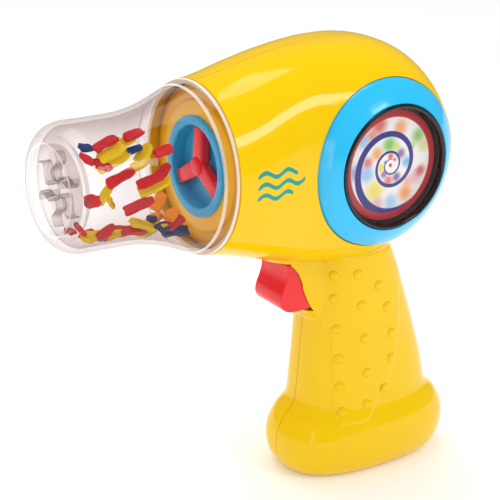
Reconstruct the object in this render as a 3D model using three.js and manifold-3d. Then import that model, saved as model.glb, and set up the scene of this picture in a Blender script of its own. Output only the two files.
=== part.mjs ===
// Toy hair dryer: a pistol-shaped body with a clear nozzle full of foam bits, a fan in a cup behind
// them, a spinning spiral disc on each side, a trigger and a battery foot.
// Millimetres, +Z up. X runs along the barrel with the nozzle towards -X, and Y = 0 is the parting
// plane of the two body shells. Shapes are drawn about the barrel: x = 0, z = 0 is where the barrel
// axis crosses the disc axle. The last group lifts the whole toy so that its foot stands on z = 0.
import * as THREE from 'three';
import { mergeVertices } from 'three/addons/utils/BufferGeometryUtils.js';
import Module from 'manifold-3d';

const wasm = await Module();
wasm.setup();

// ---- driving dimensions -----------------------------------------------------------------------
const BARREL_HEIGHT = 155;          // barrel axis above the foot's flat bottom
const FOOT_X = 19.5;                // middle of the foot, behind the disc axle
const WALL = 2.2;                   // moulded wall of the shells
const GAP = 0.3;                    // clearance between touching pieces
const SEAM = 0.15;                  // each shell stops this far from the parting plane

const JOINT_X = -75;                // where nozzle and body meet
const JOINT_R = 37;
const BODY_REAR = 46;               // back of the body behind the disc axle
const BODY_HALF_H = 49;             // half height over the disc axle
const BODY_HALF_W = 43;

const NOZZLE_FRONT = -141;
const NOZZLE_WALL = 2;
const NOZZLE_WAIST_R = 26.6;
const NOZZLE_MOUTH_R = 18.6;        // rim of the sunk front face
const MOUTH_DEPTH = 7;

const PLUG_R = 27.6;                // raised middle of the bulkhead
const CUP_RIM_R = 21.4;
const CUP_R = 19.4;
const CUP_FLOOR_X = -66;

const RING_R = 36.6;                // side ring, at the body's surface
const RING_SIDE = 33;               // its edge, out from the parting plane
const RING_CROWN = 41.2;            // its crown round the bezel
const BEZEL_R = 27;
const DISC_R = 24.1;
const DISC_SIDE = 35.6;             // inner face of the spiral disc
const AXLE_R = 2;

const MODULE = 1;                   // gear module of the whole train
const MOTOR_PINION_TEETH = 8;
const FAN_GEAR_TEETH = 24;
const CROWN_PINION_TEETH = 8;
const CROWN_TEETH = 32;
const SHAFT_R = 1.5;
const MOTOR_R = 10;
const MOTOR_Z = -MODULE * (MOTOR_PINION_TEETH + FAN_GEAR_TEETH) / 2;

const TRIGGER_HALF_W = 8.6;
const TRIGGER_PIVOT = [-19, -46.5];
const PIN_R = 1.5;

const CELL_R = 7.25;                // AA cell
const CELL_LENGTH = 50.5;
const CELL_Y = 7.6;
const FOOT_BOTTOM = -BARREL_HEIGHT;
const CELL_Z = FOOT_BOTTOM + 12.4;

const SCREWS = [[-56, 31], [10, 42], [-50, -32], [26, -92], [-18, -138.5], [57.6, -138.5]];
const SCREW_R = 1.4;
const SCREW_HEAD_R = 2.8;
const SCREW_BOSS_R = 3.8;

// Facets round a circle, from the largest turned pieces to the smallest.
const WIDE = 36;
const BROAD = 30;
const NARROW = 16;
const FINE = 10;

const YELLOW = 0xfdc80f;
const BLUE = 0x2cc0f3;
const RED = 0xe81e25;
const BLACK = 0x15120f;
const STEEL = 0xb9bcc0;
const BRASS = 0xc9a24b;
const ACETAL = 0xf4f1e8;

// ---- joining and cutting ----------------------------------------------------------------------
const X_AXIS = new THREE.Matrix4().makeRotationZ(-Math.PI / 2);
const Z_AXIS = new THREE.Matrix4().makeRotationX(Math.PI / 2);

function toSolid(geometry) {
  const bare = geometry.index ? geometry.toNonIndexed() : geometry.clone();
  bare.deleteAttribute('normal');
  bare.deleteAttribute('uv');
  const merged = mergeVertices(bare, 1e-4);
  const vertProperties = new Float32Array(merged.attributes.position.array);
  const triVerts = new Uint32Array(merged.index.array);
  const solid = new wasm.Manifold(new wasm.Mesh({ numProp: 3, vertProperties, triVerts }));
  if (solid.volume() > 0) return solid;
  return new wasm.Manifold(new wasm.Mesh({ numProp: 3, vertProperties, triVerts: triVerts.reverse() }));
}

function toGeometry(solid) {
  const mesh = solid.getMesh();
  const geometry = new THREE.BufferGeometry();
  geometry.setAttribute('position', new THREE.BufferAttribute(mesh.vertProperties, 3));
  geometry.setIndex(new THREE.BufferAttribute(mesh.triVerts, 1));
  geometry.computeVertexNormals();
  return geometry;
}

const join = (...solids) => solids.reduce((whole, solid) => whole.add(solid));
const cut = (solid, ...tools) => tools.reduce((left, tool) => left.subtract(tool), solid);

// ---- shapes -----------------------------------------------------------------------------------
// A turned solid: points are [radius, height], drawn once round and closed along the axis.
function turned(points, segments = BROAD, axis = null) {
  const doubled = points.reduce((sum, [r, h], i) => {
    const [r2, h2] = points[(i + 1) % points.length];
    return sum + r * h2 - r2 * h;
  }, 0);
  const order = doubled > 0 ? points : [...points].reverse();
  const profile = order.map(([r, h]) => new THREE.Vector2(Math.max(r, 0), h));
  const onAxis = profile[0].x < 1e-6 && profile[profile.length - 1].x < 1e-6;
  if (!onAxis) profile.push(profile[0].clone());
  const geometry = new THREE.LatheGeometry(profile, segments);
  if (axis) geometry.applyMatrix4(axis);
  return toSolid(geometry);
}

// A round bar between two heights on the X, Y or Z axis, moved to its place.
function bar(radius, from, to, axis, place = [0, 0, 0], segments = NARROW) {
  const points = [[0, from], [radius, from], [radius, to], [0, to]];
  return turned(points, segments, axis).translate(place);
}

function tube(outer, inner, from, to, axis, place = [0, 0, 0], segments = NARROW) {
  const points = [[inner, from], [outer, from], [outer, to], [inner, to]];
  return turned(points, segments, axis).translate(place);
}

function block(low, high) {
  const size = high.map((value, i) => value - low[i]);
  const geometry = new THREE.BoxGeometry(...size);
  geometry.translate(...low.map((value, i) => value + size[i] / 2));
  return toSolid(geometry);
}

// A side profile of [x, z] points, given thickness along Y between two planes.
function sidePlate(points, from, to) {
  const shape = new THREE.Shape(points.map(([x, z]) => new THREE.Vector2(x, z)));
  const geometry = new THREE.ExtrudeGeometry(shape, { depth: to - from, bevelEnabled: false });
  geometry.rotateX(Math.PI / 2);
  geometry.translate(0, to, 0);
  return toSolid(geometry);
}

// A level outline of [x, y] points, given thickness between two heights.
function levelPlate(points, from, to) {
  const shape = new THREE.Shape(points.map(([x, y]) => new THREE.Vector2(x, y)));
  const geometry = new THREE.ExtrudeGeometry(shape, { depth: to - from, bevelEnabled: false });
  geometry.translate(0, 0, from);
  return toSolid(geometry);
}

// A round wire bent along a list of [x, y, z] points.
function wire(points, radius, steps) {
  const path = new THREE.CatmullRomCurve3(points.map((point) => new THREE.Vector3(...point)));
  const shape = new THREE.Shape();
  shape.absarc(0, 0, radius, 0, 2 * Math.PI);
  const options = { steps, extrudePath: path, curveSegments: 3, bevelEnabled: false };
  return toSolid(new THREE.ExtrudeGeometry(shape, options));
}

// A skin over rings of points that all have the same count, with a flat fan closing each end.
function loft(rings) {
  const count = rings[0].length;
  const positions = rings.flat().flatMap((point) => point.toArray());
  const index = [];
  for (let ring = 0; ring < rings.length - 1; ring += 1) {
    for (let i = 0; i < count; i += 1) {
      const a = ring * count + i;
      const b = ring * count + ((i + 1) % count);
      index.push(a, b, b + count, a, b + count, a + count);
    }
  }
  for (const [ring, turn] of [[0, 1], [rings.length - 1, 0]]) {
    const centre = positions.length / 3;
    const middle = rings[ring].reduce((sum, p) => sum.add(p), new THREE.Vector3());
    positions.push(...middle.divideScalar(count).toArray());
    for (let i = 0; i < count; i += 1) {
      const a = ring * count + i;
      const b = ring * count + ((i + 1) % count);
      index.push(centre, turn ? b : a, turn ? a : b);
    }
  }
  const geometry = new THREE.BufferGeometry();
  geometry.setAttribute('position', new THREE.Float32BufferAttribute(positions, 3));
  geometry.setIndex(index);
  return toSolid(geometry);
}

// A point of a superellipse: power 2 is an ellipse, and higher powers are boxier.
function superellipse(angle, halfA, halfB, power) {
  const c = Math.cos(angle);
  const s = Math.sin(angle);
  return [
    halfA * Math.sign(c) * Math.abs(c) ** (2 / power),
    halfB * Math.sign(s) * Math.abs(s) ** (2 / power),
  ];
}

// A value between stations: table rows are [position, value, ...], joined by a smooth curve.
function along(table, column, position) {
  const curve = new THREE.SplineCurve(table.map((row) => new THREE.Vector2(row[0], row[column])));
  const last = table.length - 1;
  let at = last;
  for (let i = 0; i < last; i += 1) {
    if (position <= table[i + 1][0]) {
      at = i;
      break;
    }
  }
  at = Math.min(at, last - 1);
  const span = table[at + 1][0] - table[at][0];
  const t = (at + (position - table[at][0]) / span) / last;
  return curve.getPoint(Math.min(Math.max(t, 0), 1)).y;
}

// Rings of a stack of level sections: rows are [z, front x, rear x, half width].
function stack(rows, power, count, inset = 0) {
  return loft(rows.map(([z, front, rear, halfWidth]) => {
    const ring = [];
    for (let i = 0; i < count; i += 1) {
      const halfLength = (rear - front) / 2 - inset;
      const [x, y] = superellipse(2 * Math.PI * i / count, halfLength, halfWidth - inset, power);
      ring.push(new THREE.Vector3((front + rear) / 2 + x, y, z));
    }
    return ring;
  }));
}

// ---- gears ------------------------------------------------------------------------------------
// A spur gear in the XY plane, thickness along +Z, with straight-sided teeth and room in mesh.
function spurGear(teeth, width, bore) {
  const pitch = MODULE * teeth / 2;
  const tip = pitch + MODULE * 0.85;
  const root = pitch - MODULE * 1.25;
  const pitchAngle = 2 * Math.PI / teeth;
  const shape = new THREE.Shape();
  const marks = [[root, 0.27], [tip, 0.1], [tip, -0.1], [root, -0.27]];
  for (let i = 0; i < teeth; i += 1) {
    for (const [radius, part] of marks) {
      const angle = (i - part) * pitchAngle;
      const point = [radius * Math.cos(angle), radius * Math.sin(angle)];
      if (i === 0 && part === marks[0][1]) shape.moveTo(...point);
      else shape.lineTo(...point);
    }
  }
  const hole = new THREE.Path();
  hole.absarc(0, 0, bore, 0, 2 * Math.PI, true);
  shape.holes.push(hole);
  return new THREE.ExtrudeGeometry(shape, { depth: width, bevelEnabled: false, curveSegments: 8 });
}

// ---- body shells ------------------------------------------------------------------------------
const ROUND = 2.2;                  // superellipse powers of the sections
const BOXY = 2.5;

// Sections of the barrel-shaped body: [x, half height, half width, power].
const BODY_TABLE = [
  [JOINT_X, JOINT_R, JOINT_R, 2],
  [-67, 38.3, 37.2, 2.1],
  [-60, 39.9, 37.2, 2.2],
  [-48, 43.2, 36.4, 2.35],
  [-37, 45.6, 35.8, BOXY],
  [-26, 47.5, 37.6, BOXY],
  [-13, 48.8, 41.2, BOXY],
  [0, BODY_HALF_H, BODY_HALF_W, BOXY],
];
const SIDE_POWER = 2.1;             // roundness of the back seen from the side
const PLAN_POWER = 3;               // and seen from above

function bodySection(x) {
  if (x <= 0) return [1, 2, 3].map((column) => along(BODY_TABLE, column, x));
  const back = Math.min(x / BODY_REAR, 1);
  const halfHeight = BODY_HALF_H * (1 - back ** SIDE_POWER) ** (1 / SIDE_POWER);
  const halfWidth = BODY_HALF_W * (1 - back ** PLAN_POWER) ** (1 / PLAN_POWER);
  return [halfHeight, halfWidth, BOXY - 0.5 * back];
}

function bodySolid(inset, from, count = WIDE) {
  const stations = [];
  for (let i = 0; i <= 8; i += 1) stations.push(from * (1 - i / 8));
  for (let i = 1; i <= 7; i += 1) stations.push((BODY_REAR - 0.05) * Math.sin(i / 7 * Math.PI / 2));
  const shrink = (BODY_REAR - inset) / BODY_REAR;
  return loft(stations.map((x) => {
    const [halfHeight, halfWidth, power] = bodySection(x);
    const ring = [];
    for (let i = 0; i < count; i += 1) {
      const height = Math.max(halfHeight - inset, 0.1);
      const width = Math.max(halfWidth - inset, 0.1);
      const [y, z] = superellipse(2 * Math.PI * i / count, width, height, power);
      ring.push(new THREE.Vector3(x > 0 ? x * shrink : x, y, z));
    }
    return ring;
  }));
}

const HANDLE_ROWS = [
  [-34, -12.5, 21, 21], [-50, -12.9, 28.2, 20.3], [-65, -13.7, 35.2, 19.7], [-80, -14.6, 41.3, 19.8],
  [-95, -15.4, 46.9, 20.3], [-110, -16.3, 51.8, 21.2], [-126, -17, 55.5, 22],
];
const TRIGGER_BOSS_ROWS = [
  [-36, -37.5, -1, 12.4], [-46, -35.8, -1, 12.8], [-50, -33.4, -1, 13], [-56, -30.4, -1, 13.1],
  [-62, -27.6, -1, 13.2], [-68, -25, -1, 13.2], [-73, -21, -2, 12.8], [-77, -16.6, -3, 11.8],
  [-80, -12, -4, 9.6],
];
const FOOT_TOP = -120;
const FOOT_WIDEST = -139.5;
const FOOT_HALF_LENGTH = 46.2;
const FOOT_HALF_WIDTH = 27;
const FOOT_FLAT = [36, 18.5];       // half length and half width of the flat bottom
const FOOT_NECK = [30, 17];         // and of the closed top inside the handle

function footRows(inset) {
  const rows = [];
  const bottom = FOOT_BOTTOM + inset;
  for (let i = 0; i <= 5; i += 1) {
    const angle = i / 5 * Math.PI / 2;
    const length = FOOT_FLAT[0] + (FOOT_HALF_LENGTH - FOOT_FLAT[0]) * Math.sin(angle);
    const width = FOOT_FLAT[1] + (FOOT_HALF_WIDTH - FOOT_FLAT[1]) * Math.sin(angle);
    const z = FOOT_WIDEST - (FOOT_WIDEST - bottom) * Math.cos(angle);
    rows.push([z, FOOT_X - length, FOOT_X + length, width]);
  }
  for (let i = 1; i <= 5; i += 1) {
    const angle = i / 5 * Math.PI / 2;
    const length = FOOT_NECK[0] + (FOOT_HALF_LENGTH - FOOT_NECK[0]) * Math.cos(angle);
    const width = FOOT_NECK[1] + (FOOT_HALF_WIDTH - FOOT_NECK[1]) * Math.cos(angle);
    const z = FOOT_WIDEST + (FOOT_TOP - inset - FOOT_WIDEST) * Math.sin(angle);
    rows.push([z, FOOT_X - length, FOOT_X + length, width]);
  }
  return rows;
}

const BOX_OUT = { x: [-8.2, 52.8], y: 16.4, top: FOOT_BOTTOM + 22.6 };
const DOOR_HALF = [                  // one half of the door's outline, inside the flat bottom
  [-14.3, 8], [-10.5, 12], [-5.4, 15], [44.4, 15], [47.6, 13.2], [50.3, 11.4],
];
const DOOR_SCREW_X = -11.2;
const POCKET_FRONT = -29.4;
const POCKET_REAR = -2;
const POCKET_TOP = -41;
const POCKET_BOTTOM = -72.6;
const LIP_Z = -49.9;
const SLOT_HALF_W = TRIGGER_HALF_W + 0.4;

function doorOutline(grow) {
  const half = DOOR_HALF.map(([x, y]) => [x + Math.sign(x - FOOT_X) * grow, y + grow]);
  return [...half, ...half.map(([x, y]) => [x, -y]).reverse()];
}

function housing() {
  const outer = join(
    bodySolid(0, JOINT_X + GAP),
    stack(HANDLE_ROWS, BOXY, WIDE),
    stack(TRIGGER_BOSS_ROWS, ROUND, 24),
    stack(footRows(0), BOXY, WIDE),
  );
  const hollowHandle = HANDLE_ROWS.map((row, i) => [i ? row[0] : -30, ...row.slice(1)]);
  const inner = join(
    bodySolid(WALL, JOINT_X - 1, 20),
    stack(hollowHandle, BOXY, 16, WALL),
    stack(footRows(WALL), BOXY, 16, WALL),
  );
  const ribs = [
    // gearbox saddle, shaft bracket saddle and battery box ledge, one wall across both shells
    block([-62.2, -39, -36], [-60.2, 39, -24]),
    block([-34, -39, -38], [-32, 39, -28.4]),
    block([6.3, -22, -74], [8.3, 22, -57]),
  ].map((rib) => rib.intersect(bodyOrHandle(0.6)));
  const bosses = SCREWS.map(([x, z]) => bar(SCREW_BOSS_R, -42, 42, null, [x, 0, z], FINE)
    .intersect(outer));
  const slotSide = [
    [-60, LIP_Z], [POCKET_FRONT, LIP_Z], [POCKET_FRONT, POCKET_TOP], [POCKET_REAR, POCKET_TOP],
    [POCKET_REAR, POCKET_BOTTOM], [-60, POCKET_BOTTOM],
  ];
  const pinBoss = bar(PIN_R + 2, -SLOT_HALF_W - 3.2, SLOT_HALF_W + 3.2, null,
    [TRIGGER_PIVOT[0], 0, TRIGGER_PIVOT[1]], FINE);
  const ringHoles = [[20, 60], [-60, -20]].map(([from, to]) => (
    bar(RING_R + GAP, from, to, null, [0, 0, 0], WIDE)));
  const screwHoles = SCREWS.flatMap(([x, z]) => [
    bar(SCREW_R + 0.25, -8.4, 60, null, [x, 0, z], FINE),
    bar(SCREW_HEAD_R + 0.4, 6, 60, null, [x, 0, z], FINE),
  ]);
  const doorHole = levelPlate(doorOutline(GAP), FOOT_BOTTOM - 1, FOOT_BOTTOM + WALL + 1);
  const batteryRoom = block(
    [BOX_OUT.x[0] - GAP, -BOX_OUT.y - GAP, FOOT_BOTTOM + 3.3],
    [BOX_OUT.x[1] + GAP, BOX_OUT.y + GAP, BOX_OUT.top + GAP],
  );
  return cut(
    join(cut(outer, inner), ...ribs, ...bosses, pinBoss.intersect(outer)),
    sidePlate(slotSide, -SLOT_HALF_W, SLOT_HALF_W),
    bar(PIN_R + GAP, -SLOT_HALF_W - 2.4, SLOT_HALF_W + 2.4, null,
      [TRIGGER_PIVOT[0], 0, TRIGGER_PIVOT[1]], FINE),
    ...ringHoles,
    ...screwHoles,
    doorHole,
    batteryRoom,
  );
}

function bodyOrHandle(inset) {
  return join(bodySolid(inset, JOINT_X + 2, 20), stack(HANDLE_ROWS, BOXY, 16, inset));
}

// ---- nozzle, bulkhead, cup and fan ------------------------------------------------------------
// Outline of the nozzle from its flange forward: [radius, x].
function nozzleOutline(inset) {
  const flare = [
    [36.9, JOINT_X], [36.5, -76.8], [35, -80], [32.6, -86], [30.3, -92], [28.4, -99],
    [27, -108], [NOZZLE_WAIST_R, -122],
  ];
  const points = flare.map(([r, x]) => [r - inset, x]);
  const round = 10.5 - inset;
  const low = NOZZLE_FRONT + 10.5;
  for (let i = 0; i <= 5; i += 1) {
    const angle = i / 5 * Math.PI / 2;
    const r = NOZZLE_WAIST_R - 7.7 + (7.7 - inset) * Math.cos(angle);
    points.push([r, low - round * Math.sin(angle)]);
  }
  return points;
}

function nozzle() {
  const outside = nozzleOutline(0);
  const inside = nozzleOutline(NOZZLE_WALL);
  const floor = NOZZLE_FRONT + MOUTH_DEPTH;
  const profile = [
    ...outside,
    [NOZZLE_MOUTH_R - 0.8, floor],
    [0, floor],
    [0, floor + NOZZLE_WALL],
    [NOZZLE_MOUTH_R + 1.4, floor + NOZZLE_WALL],
    ...inside.slice(2, -2).reverse(),
    [32.3, JOINT_X - 3.2], [32.3, JOINT_X + 4.2], [34.3, JOINT_X + 4.2], [34.3, JOINT_X],
  ];
  return turned(profile, WIDE, X_AXIS);
}

function bulkhead() {
  const profile = [
    [CUP_R + GAP, -72.3], [PLUG_R, -72.3], [PLUG_R + 0.6, -70.4], [34.2, -70.4],
    [34.2, -68.4], [24, -68.4], [24, -70], [CUP_R + GAP, -70],
  ];
  return turned(profile, BROAD, X_AXIS);
}

function fanCup() {
  const profile = [
    [17.4, -74], [CUP_RIM_R, -74], [CUP_RIM_R, -72.5], [CUP_R, -72.5],
    [CUP_R, CUP_FLOOR_X], [3.4, CUP_FLOOR_X], [3.4, CUP_FLOOR_X - 1.6], [17.4, CUP_FLOOR_X - 1.6],
  ];
  return turned(profile, BROAD, X_AXIS);
}

function fan() {
  const parts = [bar(4.2, -73.8, -69.8, X_AXIS)];
  for (let i = 0; i < 3; i += 1) {
    const arm = block([-72.8, -2.9, 2], [-68.2, 2.9, 16.8]);
    parts.push(arm.rotate([i * 120, 0, 0]));
  }
  return cut(join(...parts), bar(SHAFT_R + 0.1, -71.9, -69, X_AXIS, [0, 0, 0], FINE));
}

// ---- disc drive -------------------------------------------------------------------------------
// A crown gear about the Y axis: a plate with teeth standing on its inner face.
function crownGear() {
  const radius = MODULE * CROWN_TEETH / 2;
  const pinionR = MODULE * CROWN_PINION_TEETH / 2;
  const rootY = pinionR + MODULE * 1.25;
  const tipY = pinionR - MODULE * 0.85;
  const plate = tube(radius + 2.5, AXLE_R + GAP / 2, rootY, rootY + 3, null, [0, 0, 0], BROAD);
  const hub = tube(4.5, AXLE_R + GAP / 2, rootY, rootY + 6.5, null, [0, 0, 0]);
  const pitchWidth = Math.PI * MODULE;
  const teeth = [];
  const foot = pitchWidth * 0.27;
  const tip = pitchWidth * 0.1;
  for (let i = 0; i < CROWN_TEETH; i += 1) {
    const profile = [[-foot, rootY + 0.3], [foot, rootY + 0.3], [tip, tipY], [-tip, tipY]];
    const shape = new THREE.Shape(profile.map(([z, y]) => new THREE.Vector2(z, y)));
    const tooth = new THREE.ExtrudeGeometry(shape, { depth: 4.4, bevelEnabled: false });
    tooth.applyMatrix4(new THREE.Matrix4().makeBasis(
      new THREE.Vector3(0, 0, 1), new THREE.Vector3(0, 1, 0), new THREE.Vector3(-1, 0, 0)));
    tooth.translate(-radius + 2.2, 0, 0);
    tooth.rotateY(2 * Math.PI * (i + 0.5) / CROWN_TEETH);
    teeth.push(toSolid(tooth));
  }
  return join(plate, hub, ...teeth);
}

function axle() {
  return bar(AXLE_R, -DISC_SIDE - 0.9, DISC_SIDE + 0.9, null, [0, 0, 0]);
}

function sideRing(side) {
  const profile = [
    [RING_R, 28], [RING_R, RING_SIDE], [34.6, 35.3], [32, 37.8], [29.6, 39.7],
    [BEZEL_R + GAP, RING_CROWN], [BEZEL_R + GAP, 31.7], [25.4, 31.7], [25.4, 29.7],
    [29.4, 29.7], [30.6, 35.4], [34.5, 28],
  ];
  return turned(profile.map(([r, y]) => [r, side * y]), WIDE);
}

function bezel(side) {
  const profile = [
    [25.2, 33.6], [25.2, 40.9], [25.6, 41.8], [26.6, 41.8], [BEZEL_R, 41.2], [BEZEL_R, 32],
    [3.4, 32], [3.4, 33.6],
  ];
  return turned(profile.map(([r, y]) => [r, side * y]), BROAD);
}

function lens(side) {
  const profile = [[0, 39.6], [24.9, 39], [24.9, 40.3], [18, 40.9], [9, 41.2], [0, 41.3]];
  return turned(profile.map(([r, y]) => [r, side * y]), BROAD);
}

function spiralDisc(side) {
  const profile = [
    [0, DISC_SIDE + 1.2], [0, DISC_SIDE + 1.7], [DISC_R, DISC_SIDE + 1.7], [DISC_R, DISC_SIDE],
    [4.6, DISC_SIDE], [4.6, 34.1], [AXLE_R + 0.15, 34.1], [AXLE_R + 0.15, DISC_SIDE + 1.2],
  ];
  return turned(profile.map(([r, y]) => [r, side * y]), BROAD);
}

function axleBush(side) {
  const profile = [
    [AXLE_R + 0.2, 29.6], [4.6, 29.6], [4.6, 31.7], [3.1, 31.7], [3.1, 33.4], [AXLE_R + 0.2, 33.4],
  ];
  return turned(profile.map(([r, y]) => [r, side * y]), NARROW);
}

// ---- motor and gearbox ------------------------------------------------------------------------
const MOTOR_FRONT = -46;
const MOTOR_BACK = -22.6;

function motorCan() {
  const flats = block([MOTOR_FRONT - 5, -MOTOR_R - 1, -7.6], [MOTOR_BACK + 5, MOTOR_R + 1, 7.6]);
  const can = bar(MOTOR_R, MOTOR_FRONT, MOTOR_BACK, X_AXIS).intersect(flats);
  const collar = bar(3, MOTOR_FRONT - 1.4, MOTOR_FRONT + 1, X_AXIS);
  const bore = bar(1.3, MOTOR_FRONT - 2, MOTOR_BACK - 3, X_AXIS, [0, 0, 0], FINE);
  return cut(join(can, collar), bore).translate([0, 0, MOTOR_Z]);
}

function motorEndCap() {
  const flats = block([-30, -12, -7.4], [0, 12, 7.4]);
  const cap = bar(MOTOR_R - 0.3, MOTOR_BACK + GAP, MOTOR_BACK + 2.2, X_AXIS);
  return cap.intersect(flats).translate([0, 0, MOTOR_Z]);
}

// Two plates close the gearbox, with a skirt between them; the base has the motor's collar hole.
function gearboxBase() {
  const plate = block([-50, -11, -23.6], [-47.7, 11, 13.6]);
  const foot = block([-50, -11, -28], [-32.2, 11, -26.4]);
  const web = block([-50, -11, -28], [-47.7, 11, -23.6]);
  return cut(
    join(plate, foot, web),
    bar(3.3, -52, -46, X_AXIS, [0, 0, MOTOR_Z]),
    bar(SHAFT_R + 0.25, -52, -46, X_AXIS),
  );
}

function gearboxCover() {
  const plate = block([-62.2, -14.6, -23.6], [-60.4, 14.6, 14.6]);
  const skirt = cut(
    block([-62.2, -14.6, -23.6], [-50.3, 14.6, 14.6]),
    block([-60.4, -13.4, -22.4], [-49, 13.4, 13.4]),
  );
  return cut(
    join(plate, skirt),
    bar(SHAFT_R + 0.25, -64, -59, X_AXIS),
  );
}

// The bearing plate behind the motor hangs from an arm over it.
function shaftBracket() {
  const arm = block([-47.4, -6, 10], [-21, 6, 12]);
  const tab = block([-47.4, -6, 4], [-45.4, 6, 12]);
  const plate = block([-23, -6, -4.4], [-21, 6, 12]);
  const hole = bar(SHAFT_R + 0.25, -50, -18, X_AXIS);
  return cut(join(arm, tab, plate), hole);
}

function alongX(gear, x) {
  gear.rotateY(Math.PI / 2);
  gear.translate(x, 0, 0);
  return toSolid(gear);
}

// ---- trigger and switch -----------------------------------------------------------------------
const TRIGGER_SIDE = [
  [-24.6, -44], [-19, -42.4], [-14, -44.5], [-9.6, -51], [-8.4, -60], [-8.8, -67.6], [-12, -70.4],
  [-20, -71.2], [-28, -71.4], [-32.6, -69.6], [-34.4, -65.8], [-33.6, -61.6], [-31.6, -57],
  [-30.8, -51.6], [-28.6, -50.4], [-26.6, -47],
];
const PLUNGER_Z = -62;
const PLUNGER_FRONT = -8.1;
const SPRING_Z = -67.2;
const SPRING_FRONT = -11;            // at the bottom of the trigger's spring seat
const SPRING_BACK = 5.4;
const SPRING_R = 1.9;
const SPRING_WIRE_R = 0.35;

function trigger() {
  const [x, z] = TRIGGER_PIVOT;
  const solid = sidePlate(TRIGGER_SIDE, -TRIGGER_HALF_W, TRIGGER_HALF_W);
  const seat = block([-12, -3, -71], [-8.6, 3, -64]);
  return cut(solid, bar(PIN_R + 0.2, -20, 20, null, [x, 0, z]), seat);
}

function triggerSpring() {
  const turns = 4;
  const points = [];
  for (let i = 0; i <= turns * 8; i += 1) {
    const t = i / (turns * 8);
    const angle = 2 * Math.PI * turns * t;
    const x = SPRING_FRONT + (SPRING_BACK - SPRING_FRONT) * t;
    points.push([x, SPRING_R * Math.cos(angle), SPRING_Z + SPRING_R * Math.sin(angle)]);
  }
  return wire(points, SPRING_WIRE_R, turns * 8);
}

function switchBody() {
  const box = block([-1.4, -5, -65], [6, 5, -57.6]);
  const hole = bar(2.3, -3, 4.4, X_AXIS, [0, 0, PLUNGER_Z]);
  return cut(box, hole);
}

function switchPlunger() {
  return bar(2, PLUNGER_FRONT, 1.4, X_AXIS, [0, 0, PLUNGER_Z]);
}

// ---- battery foot -----------------------------------------------------------------------------
const BOX_END = 1.4;                // end walls of the battery box
const CONTACT_WIRE_R = 0.25;

function batteryBox() {
  const [front, rear] = BOX_OUT.x;
  const outer = block([front, -BOX_OUT.y, FOOT_BOTTOM + 3.6], [rear, BOX_OUT.y, BOX_OUT.top]);
  const hollow = block(
    [front + BOX_END, -BOX_OUT.y + 1.2, FOOT_BOTTOM],
    [rear - BOX_END, BOX_OUT.y - 1.2, BOX_OUT.top - 1.6],
  );
  const post = bar(3, FOOT_BOTTOM + 3, FOOT_BOTTOM + 14, Z_AXIS, [DOOR_SCREW_X, 0, 0]);
  const web = block([DOOR_SCREW_X, -1, FOOT_BOTTOM + 4], [front + 1, 1, FOOT_BOTTOM + 14]);
  const hole = bar(SCREW_R + 0.25, FOOT_BOTTOM, FOOT_BOTTOM + 12, Z_AXIS, [DOOR_SCREW_X, 0, 0]);
  return cut(join(outer, web, post), hollow, hole);
}

function cell(y, turn) {
  const middle = (BOX_OUT.x[0] + BOX_OUT.x[1]) / 2;
  const half = CELL_LENGTH / 2;
  const profile = [
    [0, -half], [CELL_R - 0.6, -half], [CELL_R, -half + 0.8], [CELL_R, half - 2],
    [CELL_R - 0.9, half - 1.2], [2.7, half - 1.2], [2.7, half], [0, half],
  ];
  const solid = turned(profile.map(([r, x]) => [r, turn * x]), NARROW, X_AXIS);
  return solid.translate([middle + turn * 2.6, y, CELL_Z]);
}

function contactSpring(y, turn) {
  const wallX = turn > 0 ? BOX_OUT.x[0] + BOX_END + 1.5 : BOX_OUT.x[1] - BOX_END - 1.5;
  const turns = 3;
  const steps = turns * 8;
  const points = [];
  for (let i = 0; i <= steps; i += 1) {
    const t = i / steps;
    const angle = 2 * Math.PI * turns * t;
    const r = 4 - 2.2 * t;
    const x = wallX + turn * 4 * t;
    points.push([x, y + r * Math.cos(angle), CELL_Z + r * Math.sin(angle)]);
  }
  return wire(points, CONTACT_WIRE_R, steps);
}

function contactPlate(front) {
  const wall = front ? BOX_OUT.x[0] + BOX_END + GAP : BOX_OUT.x[1] - BOX_END - GAP - 0.5;
  return block([wall, -13, CELL_Z - 5], [wall + 0.5, 13, CELL_Z + 5]);
}

function batteryDoor() {
  const place = [DOOR_SCREW_X, 0, 0];
  return cut(
    levelPlate(doorOutline(0), FOOT_BOTTOM, FOOT_BOTTOM + 2.6),
    bar(SCREW_R + 0.25, FOOT_BOTTOM - 1, FOOT_BOTTOM + 4, Z_AXIS, place, FINE),
    bar(SCREW_HEAD_R + 0.3, FOOT_BOTTOM - 1, FOOT_BOTTOM + 1.4, Z_AXIS, place),
  );
}

function screw(length, headDepth) {
  const profile = [
    [0, -length], [SCREW_R * 0.6, -length], [SCREW_R, -length + 1.2], [SCREW_R, 0],
    [SCREW_HEAD_R, 0], [SCREW_HEAD_R, headDepth * 0.6], [SCREW_HEAD_R * 0.75, headDepth],
    [0, headDepth],
  ];
  const slots = [[1.75, 0.35], [0.35, 1.75]].map(([x, z]) => (
    block([-x, headDepth - 0.9, -z], [x, headDepth + 1, z])));
  return cut(turned(profile, FINE), ...slots);
}

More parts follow.
